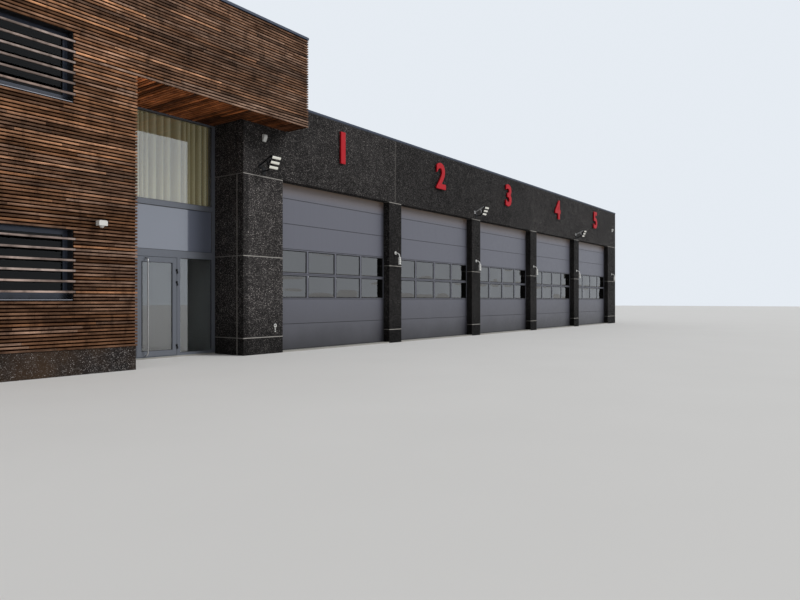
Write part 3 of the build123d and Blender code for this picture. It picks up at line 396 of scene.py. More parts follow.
def board_material(name, colour, tones, worn=(linear(74, 50, 38), linear(178, 150, 132))):
    """Oiled boards that go grey with age. Each board has its own tone, age and seed in the board attribute.
    tones gives stops from dark to pale boards, as shares of the colour, and worn the dark and light colour of
    the oldest wood."""
    made = Surface(name, colour, 0.65, Specular_IOR_Level=0.07)
    tone, age, seed = made.add("Attribute", output="Color", attribute_name="board").parts("Color")
    grain = made.group("Wood grain", Vector=made.add("UVMap", uv_map="grain"), Seed=seed)
    fibre = grain["Fibre"]
    wood = tone.ramp([(position, scaled(colour, share)) for position, share in tones])
    aged = age.mix(fibre.mix(wood.times(0.32), wood.times(1.85)), fibre.mix(*worn))
    zones = made.noise((0.9, 0.9, 2.6), 4.0, 0.65).mapped(0.33, 0.67, 0.58, 1.42)
    stains = made.noise((4.5, 4.5, 1.8), 4.0, 0.7).mapped(0.5, 0.7, 1.0, 0.45)
    return made.give(Base_Color=aged.times(zones * stains), Roughness=fibre.between(0.72, 0.5),
                     Normal=made.bump(grain["Height"], 0.0012))


def slat_material(name="Timber slats", **worn):
    tones = ((0.0, 0.2), (0.25, 0.62), (0.5, 1.05), (0.72, 1.65), (0.9, (2.4, 2.5, 2.7)), (1.0, (3.7, 4.0, 4.5)))
    return board_material(name, colours().timber, tones, **worn)


def coated_metal(name, colour, roughness, metallic, dimple, depth, grime, gloss=0.5, splash_and_shade=0.0, lintel=0.0):
    """Powder coated sheet: orange peel, a slow wave and a little rain dust. The share given for the foot darkens
    the coat at the ground and thins out to none 1.7 m up, as road dirt and as painted shade reflected in the
    gloss. Below about 0.85 m it darkens further to a bluish grey, which is painted shade. Under a lintel at the
    height given, the coat is warmed brown as (1 - depth / 0.45) squared: painted light thrown back from the
    ground."""
    made = Surface(name, colour, roughness, metallic, Specular_IOR_Level=gloss)
    skin = made.group("Coated skin", Dimple=dimple)
    streaks = made.group("Weathering", Streak_width=0.03)["Streaks"]
    surface = (streaks * grime).mix(tuple(colour)[:3], scaled(colour, 0.72))
    z = made.at.parts()[2]
    # Road dirt and painted shade: the coat darkens towards the ground, bluish in its lowest part
    if splash_and_shade:
        height = z + made.noise(1.3, 4.0) * 0.5
        surface = height.mapped(0.25, 1.95, splash_and_shade, 0.0).mix(surface, linear(60, 59, 63))
        surface = height.mapped(0.3, 0.85, 0.6, 0.0).mix(surface, linear(30, 31, 37))
    # Painted light: the coat is warmed brown under the lintel, for light the ground throws back into its shade
    if lintel:
        near = z.mapped(lintel - 0.45, lintel)
        surface = (near * near).mix(surface, scaled(colour, (1.65, 1.08, 0.56)))
    return made.give(Base_Color=surface, Roughness=skin["Wear"].between(roughness - 0.1, roughness + 0.14),
                     Normal=made.bump(skin["Height"], depth))


def rained_frames():
    """Coated window frames, darker than the entrance frames as painted shade, with rain dirt over each sill up
    to the lowest rail.
    """
    # Painted shade: the entrance frames' coating, darkened for the shade of the louvres
    coat_in_shade = linear(60, 66, 80)
    made = Surface("Window frame coating", coat_in_shade, 0.34, 0.2)
    z = made.at.parts()[2]
    dirt = sum(abs(z - (float(row_height(first)) + 0.03)).mapped(0.04, 0.1, 0.8, 0.0) for first, _ in WINDOW_ROWS)
    patchy = dirt * made.noise((3.0, 9.0, 1.0), 4.0, 0.6)
    return made.give(Base_Color=(patchy * 1.7).mix(coat_in_shade, linear(24, 27, 34)), Roughness=patchy.between(0.3, 0.6),
                     Normal=made.bump(made.noise(400.0, 1.0), 0.0001))


def glazed_panel():
    """Enamelled glass panel: an even grey under a mirroring face."""
    made = Surface("Spandrel enamel", linear(97, 102, 116), IOR=1.8, Coat_Weight=1.0, Coat_Roughness=0.02,
                   Coat_IOR=1.9)
    wave = made.noise(1.4, 1.0)
    return made.give(Roughness=made.noise(2.0, 4.0).between(0.08, 0.2), Normal=made.bump(wave, 0.002))


def bare_metal(name, colour, roughness):
    """Brushed metal: fine scratches that run up and down."""
    made = Surface(name, colour, roughness, 1.0)
    brush = made.noise((900.0, 900.0, 20.0), 2.0)
    return made.give(Roughness=brush.between(roughness - 0.1, roughness + 0.15), Normal=made.bump(brush, 0.0001))


def glass_material(name, colour, index, gloss=0.5):
    """Glazing with a few smears. The index stands for the several faces of a sealed double pane."""
    made = Surface(name, colour, IOR=index, Transmission_Weight=1.0, Specular_IOR_Level=gloss)
    return made.give(Roughness=made.noise(2.0, 4.0).mapped(0.6, 0.85, 0.0, 0.06))


def cap_material():
    """Low supply caps in black seats: a white ring round a grey face, over two small white caps. A cap's tone goes
    by the distance from its middle, as a share of its radius."""
    white = linear(208, 208, 204)
    made = Surface("Supply caps", white, 0.4)
    flat = made.at.vector("MULTIPLY", (1.0, 0.0, 1.0))
    ringed = ((0.0, 0.2), (0.4, 0.2), (0.5, 1.0), (0.84, 1.0), (0.9, 0.0))
    plain = ((0.0, 0.85), (0.8, 0.85), (0.88, 0.0))
    large, upper, lower = (
        (flat.vector("DISTANCE", (X_GARAGE + 0.94, 0.0, height), 1) * (1 / radius)).ramp(stops)
        for height, radius, stops in ((0.65, 0.052, ringed), (0.57, 0.023, plain), (0.517, 0.023, plain)))
    tone = large.greatest(upper.greatest(lower))
    return made.give(Base_Color=tone.mix(linear(14, 14, 15), white))


def rubber_material():
    made = Surface("Black rubber", linear(28, 28, 30))
    return made.give(Roughness=made.noise(40.0, 3.0).between(0.6, 0.85))


def sealant_material(name="Joint sealant", share=1.0):
    colour = scaled(colours().sealant, share)
    made = Surface(name, colour, 0.75)
    return made.give(Base_Color=made.noise(7.0, 4.0, 0.6).mix(scaled(colour, 0.62), scaled(colour, 1.2)),
                     Normal=made.bump(made.noise(120.0, 2.0), 0.0008))


def plaster_material(name, colour, split=None):
    """Painted plaster. split is (axis, place, sign): beyond that place the wall wears a dark membrane, coloured
    the brown of painted shade in the slat gaps, and over the roof it wears felt on its inner face."""
    made = Surface(name, colour, 0.85, Specular_IOR_Level=0.05)
    surface = made.noise(2.0, 5.0, 0.6).mix(scaled(colour, 0.9), scaled(colour, 1.05))
    if split:
        axis, limit, sign = split
        parts = made.at.parts()
        outside = parts[axis].above(limit) if sign > 0 else parts[axis].below(limit)
        # Painted shade: the membrane's dark brown is the shade down the gaps between the slats
        membrane = made.noise(30.0, 2.0).mix(linear(24, 8, 2), linear(38, 16, 8))
        upstand = parts[2].above(float(place("wing_roof")[1][2]) - 0.002)
        surface = outside.mix(upstand.mix(surface, linear(58, 58, 61)), membrane)
    return made.give(Base_Color=surface, Normal=made.bump(made.noise(150.0, 3.0), 0.0006))


def roofing_material():
    """Mineral roofing felt in metre-wide sheets with dark laps."""
    made = Surface("Roofing felt", linear(58, 58, 60), 0.9)
    sheets, laps = made.add("TexBrick", {
        "Vector": made.at, "Scale": 1.0, "Brick Width": 7.5, "Row Height": 1.0, "Mortar Size": 0.012,
        "Mortar Smooth": 0.3, "Color1": linear(64, 64, 66), "Color2": linear(54, 54, 57),
        "Mortar": linear(34, 34, 36)}, (0, 1))
    return made.give(Base_Color=(made.noise(0.7, 5.0, 0.65) * 0.45).mix(sheets, linear(92, 90, 84)),
                     Normal=made.bump(made.noise(300.0, 2.0) * 0.4 - laps, 0.003))


def screed_material():
    made = Surface("Floor screed", linear(150, 148, 143))
    return made.give(Base_Color=made.noise(1.6, 6.0, 0.6).mix(linear(124, 122, 117), linear(168, 165, 158)),
                     Roughness=made.noise(9.0, 3.0).between(0.35, 0.6))


def cloth_material():
    """Sheer curtain cloth: a fine weave on its own map, denser and darker at the back of each fold, partly layered
    cloth and partly painted shade. The weak glow is painted light, for the light of the room behind it."""
    # Painted light: the cloth glows though it is no lamp
    made = Surface("Curtain cloth", linear(196, 184, 132), 0.9, Sheen_Weight=0.4, Sheen_Roughness=0.5,
                   Emission_Strength=0.09)
    made.at = made.add("UVMap", uv_map="weave")
    weft, warp = (made.add("TexWave", {"Vector": made.at, "Scale": 120.0}, 1, bands_direction=way) for way in "XY")
    thread = made.noise((60.0, 2.0, 1.0)).mix(linear(218, 204, 156), linear(244, 236, 200))
    # The fold attribute darkens the fold backs: partly layered cloth, partly painted shade
    fold = made.add("Attribute", output="Fac", attribute_name="fold")
    cloth = fold.mix(linear(160, 142, 96), thread)
    return made.give(Base_Color=cloth, Emission_Color=cloth, Normal=made.bump(weft * warp, 0.0006))


# Coated finishes: name, colour, roughness, metallic, dimple, its depth, grime and gloss
COATINGS = {
    "coping": ("Coping metal", (50, 59, 76), 0.5, 0.1, 0.004, 0.0006, 0.3, 0.3),
    # Near black reveal linings: painted shade inside the window reveals
    "lining": ("Reveal lining", (22, 22, 25), 0.55, 0.0, 0.003, 0.0004, 0.2),
    "white": ("White housing", (208, 208, 204), 0.38, 0.0, 0.002, 0.0002, 0.25),
    "galvanised": ("Galvanised brace", (176, 176, 176), 0.45, 0.3, 0.003, 0.0002, 0.25),
    "bracket": ("Bracket metal", (16, 16, 18), 0.5, 0.0, 0.002, 0.0002, 0.2, 0.2),
    "lens": ("Lamp lens", (236, 234, 224), 0.2, 0.0, 0.006, 0.0006, 0.05),
    # Pale sill edges: a painted highlight along the drip
    "bright edge": ("Bare drip edge", (140, 141, 149), 0.35, 0.2, 0.003, 0.0002, 0.2),
}
MATERIAL_MAKERS = {
    # The tone up to the garage's corner darkens the side of the first pier that faces the entrance: painted shade
    "precast": lambda: precast_material(tones=(
        (X_WING, 0.8), (X_GARAGE + 0.01, 1.66), (BAY_CENTRES[0], 0.42), (BAY_CENTRES[2], 0.38),
        (BAY_CENTRES[3], 0.36), (BAY_CENTRES[4], 0.45))),
    "fascia": lambda: precast_material("Fascia aggregate", 1.0, (
        (X_WING, 0.97), (PIER_CENTRES[1], 0.65), (PIER_CENTRES[3], 0.86))),
    "rear precast": lambda: precast_material("Rear aggregate", 0.8),
    "shared precast": lambda: precast_material("Shared wall aggregate", hall=True),
    "plinth": lambda: precast_material("Plinth aggregate", 1.2, dusting=0.5, dust=linear(80, 60, 42), foot=1.0),
    "slats": slat_material,
    "louvre slats": lambda: slat_material("Louvre slats", worn=(linear(102, 89, 84), linear(190, 174, 166))),
    "soffit": lambda: board_material("Soffit boards", colours().soffit,
                                     ((0.0, 0.07), (0.35, 0.8), (0.7, 1.4), (1.0, 2.2))),
    "sealant": sealant_material,
    # Sealant darkened as painted shade, for joints that face away from the light
    "rained sealant": lambda: sealant_material("Rained sealant", 0.4),
    "rubber": rubber_material,
    "roofing": roofing_material,
    "screed": screed_material,
    "cloth": cloth_material,
    "caps": cap_material,
    "door": lambda: coated_metal("Door enamel", colours().doors, 0.36, 0.0, 0.003, 0.0007, 0.18, splash_and_shade=0.85,
                                 lintel=Z_LINTEL),
    "frames": lambda: coated_metal("Frame coating", colours().frames, 0.38, 0.25, 0.002, 0.0003, 0.2),
    "signs": lambda: coated_metal("Sign enamel", colours().signs, 0.5, 0.0, 0.003, 0.0003, 0.2, 0.2),
    "window frames": rained_frames,
    "spandrel": glazed_panel,
    "steel": lambda: bare_metal("Brushed steel", linear(200, 200, 198), 0.28),
    # The window glass is tinted near black, which paints the rooms behind it in shade
    "window glass": lambda: glass_material("Window glass", linear(30, 34, 32), 1.3, 0.15),
    "entrance glass": lambda: glass_material("Entrance glass", linear(246, 250, 252), 2.1),
    "door panes": lambda: glass_material("Door panes", linear(60, 58, 56), 2.3),
    # Battens, soffit backing and corner posts are dark brown: painted shade behind the boards
    "batten": lambda: plaster_material("Dark batten", linear(34, 13, 6)),
    "corner post": lambda: plaster_material("Stained corner post", linear(46, 26, 20)),
}


@functools.cache
def material(finish):
    """A finish by its name, made on first use."""
    if finish in COATINGS:
        name, screen, *looks = COATINGS[finish]
        return coated_metal(name, linear(*screen), *looks).material
    return MATERIAL_MAKERS[finish]().material


# Meshes
def new_object(name, data):
    """An object in the scene."""
    made = bpy.data.objects.new(name, data)
    bpy.context.scene.collection.objects.link(made)
    return made


def shape(name, points, faces, finish, body="building", smooth=False):
    """A piece from an array of points and one of faces, riding on a body."""
    mesh = bpy.data.meshes.new(name)
    points = np.asarray(points, float).reshape(-1, 3)
    faces = np.asarray(faces, int)
    mesh.vertices.add(len(points))
    mesh.vertices.foreach_set("co", points.ravel())
    mesh.loops.add(faces.size)
    mesh.loops.foreach_set("vertex_index", faces.ravel())
    mesh.polygons.add(len(faces))
    mesh.polygons.foreach_set("loop_start", np.arange(len(faces)) * faces.shape[1])
    mesh.polygons.foreach_set("use_smooth", np.full(len(faces), smooth))
    mesh.update(calc_edges=True)
    mesh.validate()
    mesh.materials.append(material(finish))
    made = new_object(name, mesh)
    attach(made, body)
    return made


def repeated(faces, count, size):
    """The faces of one shape of so many points, for a count of such shapes."""
    return (faces[None] + (np.arange(count) * size)[:, None, None]).reshape(-1, faces.shape[1])


def grid_faces(rows, columns):
    """Point numbers of a grid, and its quads, which go along the row first."""
    grid = np.arange(rows * columns).reshape(rows, columns)
    quads = np.stack([grid[:-1, :-1], grid[:-1, 1:], grid[1:, 1:], grid[1:, :-1]], axis=-1)
    return grid, quads.reshape(-1, 4)


def add_uv(piece, name, pairs):
    """A UV map from one pair for each face corner."""
    layer = piece.data.uv_layers.new(name=name)
    layer.data.foreach_set("uv", np.asarray(pairs, float).ravel())


def bar_arrays(starts, ends, across, outward, profile):
    """Straight bars: the profile, a closed loop of (across, outward) steps, carried from each start to its end.
    A point is start or end, plus the profile's first step along across and its second along outward."""
    starts, ends, profile = np.atleast_2d(starts), np.atleast_2d(ends), np.asarray(profile, float)
    sides = len(profile)
    section = profile[:, :1] * across + profile[:, 1:] * outward
    points = np.stack([starts, ends], axis=1)[:, :, None, :] + section
    near = np.arange(sides)
    after = (near + 1) % sides
    walls = np.stack([near, after, after + sides, near + sides], axis=1)
    fan = np.array([[0, step, step + 1, step + 2] for step in range(1, sides - 2, 2)])
    faces = np.concatenate([walls, fan[:, ::-1], fan + sides])
    turn = np.roll(profile, -1, axis=0)
    area = np.sum(profile[:, 0] * turn[:, 1] - profile[:, 1] * turn[:, 0])
    if np.dot(np.cross(across, outward), ends[0] - starts[0]) * area < 0:
        faces = faces[:, ::-1]
    return points.reshape(-1, 3), repeated(faces, len(starts), 2 * sides), faces


def bars(name, starts, ends, across, outward, profile, finish):
    """Bars of one profile as a joined piece."""
    points, faces, _ = bar_arrays(starts, ends, across, outward, profile)
    return shape(name, points, faces, finish)


def blocks(name, corners, finish, body="building"):
    """Joined blocks, each from (x low, x high, y low, y high, z low, z high)."""
    corners = np.atleast_2d(np.asarray(corners, float))
    points = np.stack([corners[:, [a, b + 2, c + 4]] for c in (0, 1) for b in (0, 1) for a in (0, 1)], axis=1)
    faces = np.array([[0, 2, 3, 1], [4, 5, 7, 6], [0, 1, 5, 4], [2, 6, 7, 3], [0, 4, 6, 2], [1, 3, 7, 5]])
    return shape(name, points, repeated(faces, len(corners), 8), finish, body)


def face_block(face, low, high, near, far, bottom, top):
    """A block behind a face, from low to high along it and from near to far in from it."""
    along, origin, outward = face
    ends = [origin + along * low - outward * near + Z * bottom, origin + along * high - outward * far + Z * top]
    return np.sort(ends, axis=0).T.ravel()


def ring_blocks(openings, width, front, back):
    """Four blocks round the inside of each opening (left, right, low, high), as a frame of the given width."""
    made = []
    for left, right, low, high in openings:
        made += [(left, right, front, back, low, low + width), (left, right, front, back, high - width, high),
                 (left, left + width, front, back, low + width, high - width),
                 (right - width, right, front, back, low + width, high - width)]
    return made


# Timber boards. The shortest is a share of the longest, and a remnant joins the board before it.
SHORTEST_BOARD = 0.3
REMNANT = 0.25
BUTT_JOINT = 0.004
BOARD_EASE = 0.004
SHIFT_UP = 0.0006
SHIFT_IN = 0.0008
PALE_SHARE = 0.06


def lay_boards(rng, rows, low, high, longest):
    """Butt-jointed boards along each row from low to high. Returns the row, start and end of every board.
    A board's length is random, up to the longest, and its ends leave a narrow gap."""
    rows, low, high = (np.asarray(value, float) for value in (rows, low, high))
    low = np.broadcast_to(low, rows.shape)
    high = np.broadcast_to(high, rows.shape)
    most = int(np.ceil((high - low).max() / (longest * 0.28))) + 2
    lengths = rng.uniform(SHORTEST_BOARD, 1.0, (len(rows), most)) * longest
    lengths[:, 0] *= rng.uniform(SHORTEST_BOARD, 1.0, len(rows))
    ends = low[:, None] + np.cumsum(lengths, axis=1)
    ends = np.where(ends > high[:, None] - REMNANT, high[:, None], ends)
    starts = np.concatenate([low[:, None], ends[:, :-1]], axis=1)
    keep = ends - starts > 0.01
    row = np.broadcast_to(rows[:, None], starts.shape)
    return row[keep], starts[keep] + BUTT_JOINT / 2, ends[keep] - BUTT_JOINT / 2


def board_piece(name, seed, start, end, across, outward, width, depth, finish, slot, ages=(0.0, 0.75),
                fade=1.0, bleach=0.0):
    """Timber boards with eased front edges, each with its own tone, age and seed, and a map along its grain.
    bleach is how much a board's tone adds to its age. Tone and age fall to nothing at the back, which paints
    shade down the gaps between the boards."""
    rng = np.random.default_rng(seed)
    ease = BOARD_EASE
    profile = np.array([(0, -depth), (0, -ease), (ease, 0), (width - ease, 0), (width, -ease), (width, -depth)])
    count, sides = len(start), len(profile)
    jitter = rng.normal(0, SHIFT_UP, (count, 1)) * across - np.abs(rng.normal(0, SHIFT_IN, (count, 1))) * outward
    start, end = start + jitter, end + jitter
    points, faces, one = bar_arrays(start, end, across, outward, profile)
    piece = shape(name, points, faces, finish)
    tone = rng.beta(2.1, 3.1, count) * fade
    pale = (rng.random(count) < PALE_SHARE) * rng.uniform(0.25, 0.6, count)
    tone = np.clip(tone + pale * np.clip(1.4 * np.asarray(fade), 0, 1), 0, 1)
    age = np.clip(ages[0] + rng.beta(1.0, 2.8, count) * (ages[1] - ages[0]) + tone * bleach, 0, 1)
    facts = np.stack([tone, age, rng.random(count), np.ones(count)], axis=1)
    facts = np.repeat(facts[:, None], 2 * sides, axis=1)
    # Painted shade: the back corners of each board's profile get no tone or age, so its sides darken into the gaps
    for back in (0, sides - 1):
        facts[:, back::sides, :2] = 0
    colour = piece.data.color_attributes.new("board", "FLOAT_COLOR", "POINT")
    colour.data.foreach_set("color", facts.astype(np.float32).ravel())
    span = np.linalg.norm(end - start, axis=1)
    shift = rng.uniform(0, 40, (count, 1, 1))
    girth = np.concatenate([[0], np.cumsum(np.linalg.norm(np.diff(profile, axis=0), axis=1))])
    along = (one >= sides)[None] * span[:, None, None] + shift
    around = np.broadcast_to(girth[one % sides][None], along.shape) + shift * 0.37
    add_uv(piece, "grain", np.stack([along, around], axis=-1))
    return piece


def face_boards(name, seed, face, laid, finish, *looks):
    """Slats on a face, from the row, start and end of each."""
    row, start, end = laid
    along, origin, outward = face
    lift = row_height(row)[:, None] * Z + origin
    return board_piece(name, seed, lift + start[:, None] * along, lift + end[:, None] * along, Z, outward,
                       sizes().slat_height, sizes().slat_depth, finish, "timber_slats", *looks)


# Timber cladding
SLAT_GAP = 0.003
CORNER_GAP = 0.025
LOUVRE_LAP = 0.033
LOUVRE_CUT = 0.035
# Tone of the slats by row, darkest at the foot of the wall: painted shade near the ground
FOOT_SHADE_ROWS = (0, 12, 34, 56, SLAT_ROWS)
FOOT_SHADE_TONES = (0.6, 0.48, 0.54, 1.24, 1.3)


def row_height(row):
    """Height of a row's lower edge."""
    return Z_PLINTH + np.asarray(row, float) * SLAT_PITCH


def row_above(height, gap=0.005):
    """The first row that starts above a height and a gap."""
    return int(np.ceil((height + gap - Z_PLINTH) / SLAT_PITCH))


def louvre_rows(window):
    return np.arange(window[0] + LOUVRE_STEP - 1, window[1], LOUVRE_STEP)


def wall_rows(spans, window):
    """Rows of one wall, as row, low and high. spans is (first row, last row, low, high), and window the span of
    its two windows, or None. Beside a window a row is cut, and a louvre row is cut a little further away."""
    found = []
    for first, last, low, high in spans:
        for row in range(first, last):
            if window and any(a <= row < b for a, b in WINDOW_ROWS):
                away = LOUVRE_CUT if any(row in louvre_rows(each) for each in WINDOW_ROWS) else 0.0
                found += [(row, low, window[0] - away), (row, window[1] + away, high)]
            else:
                found.append((row, low, high))
    return zip(*found)


def place_boards(name, seed, spans, window, face, bleached=np.inf):
    """Slats of one wall. Boards past the place bleached, counted along, are greyer, and their lowest rows the
    palest. Elsewhere the tone grows from the darker foot of the wall to its top, the foot's darkness being
    painted shade near the ground."""
    laid = lay_boards(np.random.default_rng(seed), *wall_rows(spans, window), sizes().board_length)
    row, start, end = laid
    exposed = (start + end) / 2 > bleached
    drip = exposed & (row < SOFFIT_ROW + 3)
    youngest = np.select([drip, exposed], [0.6, 0.12], 0.0)
    # Away from the bleached boards the tone follows the rows, with painted shade at the foot
    fade = np.select([drip, exposed], [1.2, 0.74], np.interp(row, FOOT_SHADE_ROWS, FOOT_SHADE_TONES))
    return face_boards(name, seed + 1, face, laid, "slats", (youngest, 0.75), fade, 0.3)


class STATION_OT_slats(bpy.types.Operator):
    """Timber slats on every clad wall of the wing"""

    bl_idname = "station.slats"
    bl_label = "Timber slats"

    def execute(self, context):
        behind = sizes().slat_depth + SLAT_GAP
        front_low, rear_high = Y_TIMBER + behind, Y_REAR - behind
        front = place_boards("front_slats", 11, [(0, SOFFIT_ROW, X_WING, X_ENTRANCE),
                                                 (SOFFIT_ROW, SLAT_ROWS, X_WING, X_OVERHANG)],
                             FRONT_WINDOW, FRONT, X_ENTRANCE)
        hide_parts("front_cladding")
        garage_row = row_above(Z_PARAPET)
        rear = place_boards("rear_slats", 13, [(0, garage_row, X_WING, X_GARAGE),
                                               (garage_row, SLAT_ROWS, X_WING, X_OVERHANG)], FRONT_WINDOW, REAR)
        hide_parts("rear_cladding")
        side = place_boards("side_slats", 17, [(0, SLAT_ROWS, front_low, rear_high)], SIDE_WINDOW, SIDE)
        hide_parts("side_cladding")
        recess = place_boards("recess_slats", 19, [(0, SOFFIT_ROW, front_low, Y_HALL)], None, RECESS)
        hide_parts("recess_cladding")
        roof_row = row_above(place("garage_roof")[1][2], 0.01)
        coping_row = row_above(Z_COPING_TOP)
        overhang = place_boards("overhang_side_slats", 23, [
            (SOFFIT_ROW, coping_row, front_low, Y_FRONT - CORNER_GAP),
            (roof_row, coping_row, Y_PANEL_BACK + CORNER_GAP, place("garage_rear_wall")[0][1] - CORNER_GAP),
            (coping_row, SLAT_ROWS, front_low, rear_high)], None, OVERHANG)
        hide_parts("overhang_side_cladding")
        return {"FINISHED"}


class STATION_OT_louvres(bpy.types.Operator):
    """Every third slat carries on across the windows"""

    bl_idname = "station.louvres"
    bl_label = "Window louvres"

    def execute(self, context):
        rows = np.concatenate([louvre_rows(window) for window in WINDOW_ROWS])
        unjointed = 12.0
        for name, seed, face, (low, high) in (("front_louvre_slats", 31, FRONT, FRONT_WINDOW),
                                              ("rear_louvre_slats", 33, REAR, FRONT_WINDOW),
                                              ("side_louvre_slats", 35, SIDE, SIDE_WINDOW)):
            laid = lay_boards(np.random.default_rng(seed), rows, low - LOUVRE_LAP, high + LOUVRE_LAP, unjointed)
            piece = face_boards(name, seed + 1, face, laid, "louvre slats", (0.8, 1.0))
            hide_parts("window_louvres")
        return {"FINISHED"}


SOFFIT_DEPTH = 0.024
SOFFIT_GAP = 0.028
SOFFIT_LONGEST = 6.0
SOFFIT_BACKING = 0.008
BACKING_INSET = 0.03


class STATION_OT_soffit(bpy.types.Operator):
    """Soffit boards that run from front to back over the entrance"""

    bl_idname = "station.soffit"
    bl_label = "Soffit boards"

    def execute(self, context):
        first = X_ENTRANCE + 0.004
        last = X_OVERHANG - sizes().slat_depth - 0.006
        count = int((last - first) // sizes().soffit_pitch)
        step = (last - first) / count
        lows = first + np.arange(count) * step
        back = np.where(lows + step < X_GARAGE, Y_GLAZING, Y_FRONT) - 0.002
        front = Y_TIMBER + sizes().slat_depth + SLAT_GAP
        row, start, end = lay_boards(np.random.default_rng(41), np.arange(count), front, back, SOFFIT_LONGEST)
        lift = lows[row.astype(int)][:, None] * X + Z * Z_SOFFIT
        # Painted shade: the soffit boards darken from the entrance towards the far corner of the overhang
        shade = np.interp(row, (0, 0.3 * count, 0.55 * count, count), (1.35, 0.9, 0.45, 0.12))
        piece = board_piece("soffit_boards", 42, lift + start[:, None] * Y, lift + end[:, None] * Y, X, -Z,
                            step - SOFFIT_GAP, SOFFIT_DEPTH, "soffit", "soffit_timber", (0.0, 0.12), shade)
        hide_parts("entrance_soffit")
        heights = Z_SOFFIT + SOFFIT_DEPTH + SOFFIT_BACKING, Z_SOFFIT_TOP
        inset = Y_TIMBER + BACKING_INSET
        # The dark backing is painted shade over the gaps of the soffit boards
        blocks("soffit_backing", [(X_ENTRANCE, X_GARAGE, inset, Y_GLAZING, *heights),
                                  (X_GARAGE, X_OVERHANG - BACKING_INSET, inset, Y_FRONT, *heights)],
               "batten")
        return {"FINISHED"}


HALF_BATTEN = 0.022
BATTEN_INSET = 0.05
WINDOW_BATTEN = 0.03
WALL_END = 0.03
LINING_THICK = 0.004
SILL_EDGE = (0.024, 0.028)


def batten_blocks(near, far, face, low, high, bottom, top, window):
    """Battens of one wall, with one more on each side of its windows. Those behind a window stop at it."""
    centres = list(np.arange(low + BATTEN_INSET, high - BATTEN_INSET, sizes().batten_spacing))
    if window:
        centres += [window[0] - WINDOW_BATTEN, window[1] + WINDOW_BATTEN]
    edges = [bottom, *(row_height(row) for rows in WINDOW_ROWS for row in rows), top]
    made = []
    for centre in centres:
        behind = window and window[0] < centre < window[1]
        for run in zip(edges[0::2], edges[1::2]) if behind else [(bottom, top)]:
            made.append(face_block(face, centre - HALF_BATTEN, centre + HALF_BATTEN, near, far, *run))
    return made


class STATION_OT_backing(bpy.types.Operator):
    """Upright battens behind the slats, and metal linings round the window openings. Their dark colours are
    painted shade, and the pale sill edges a painted highlight.
    """

    bl_idname = "station.backing"
    bl_label = "Battens and reveal linings"

    def execute(self, context):
        near, far, end = sizes().slat_depth + 0.002, CLADDING_DEPTH, WALL_END
        battens = [block for wall in (
            (FRONT, X_WING + end, X_ENTRANCE - end, Z_PLINTH, Z_TIMBER_TOP, FRONT_WINDOW),
            (FRONT, X_ENTRANCE, X_OVERHANG - end, Z_SOFFIT, Z_TIMBER_TOP, None),
            (REAR, X_WING + end, X_GARAGE - end, Z_PLINTH, Z_TIMBER_TOP, FRONT_WINDOW),
            (SIDE, Y_TIMBER + far, Y_REAR - far, Z_PLINTH, Z_TIMBER_TOP, SIDE_WINDOW),
            (RECESS, Y_TIMBER + far, Y_HALL - 0.02, Z_PLINTH, Z_SOFFIT, None),
            (OVERHANG, Y_TIMBER + far, Y_REAR - far, Z_COPING_TOP, Z_TIMBER_TOP, None),
        ) for block in batten_blocks(near, far, *wall)]
        # Dark battens and corner posts: painted shade behind the slats
        blocks("slat_battens", battens, "batten")
        blocks("corner_posts", [(x - far, x - near, Y_TIMBER + near, Y_TIMBER + far, low, high)
                                for x, low, high in ((X_OVERHANG, Z_SOFFIT + 0.022, Z_TIMBER_TOP),
                                                     (X_ENTRANCE, Z_PLINTH + 0.005, Z_SOFFIT))],
               "corner post")
        thick = LINING_THICK
        reveal = sizes().slat_depth + 0.004, WINDOW_SETBACK
        linings, drips = [], []
        for bottom, top in row_height(WINDOW_ROWS):
            for face, (low, high) in ((FRONT, FRONT_WINDOW), (REAR, FRONT_WINDOW), (SIDE, SIDE_WINDOW)):
                drips.append(face_block(face, low, high, *SILL_EDGE, bottom + 0.0005, bottom + 0.0115))
                linings += [face_block(face, low, low + thick, *reveal, bottom, top),
                            face_block(face, high - thick, high, *reveal, bottom, top),
                            face_block(face, low + thick, high - thick, *reveal, top - thick, top)]
        # The linings' near black is painted shade in the reveals
        blocks("window_linings", linings, "lining")
        # Painted highlight: a pale strip along the front edge of each sill
        blocks("sill_edges", drips, "bright edge")
        return {"FINISHED"}


SIDE_END = Y_REAR - 0.3
SHADOW_PROUD = 0.0015
SHADOW_SIZE = 0.02


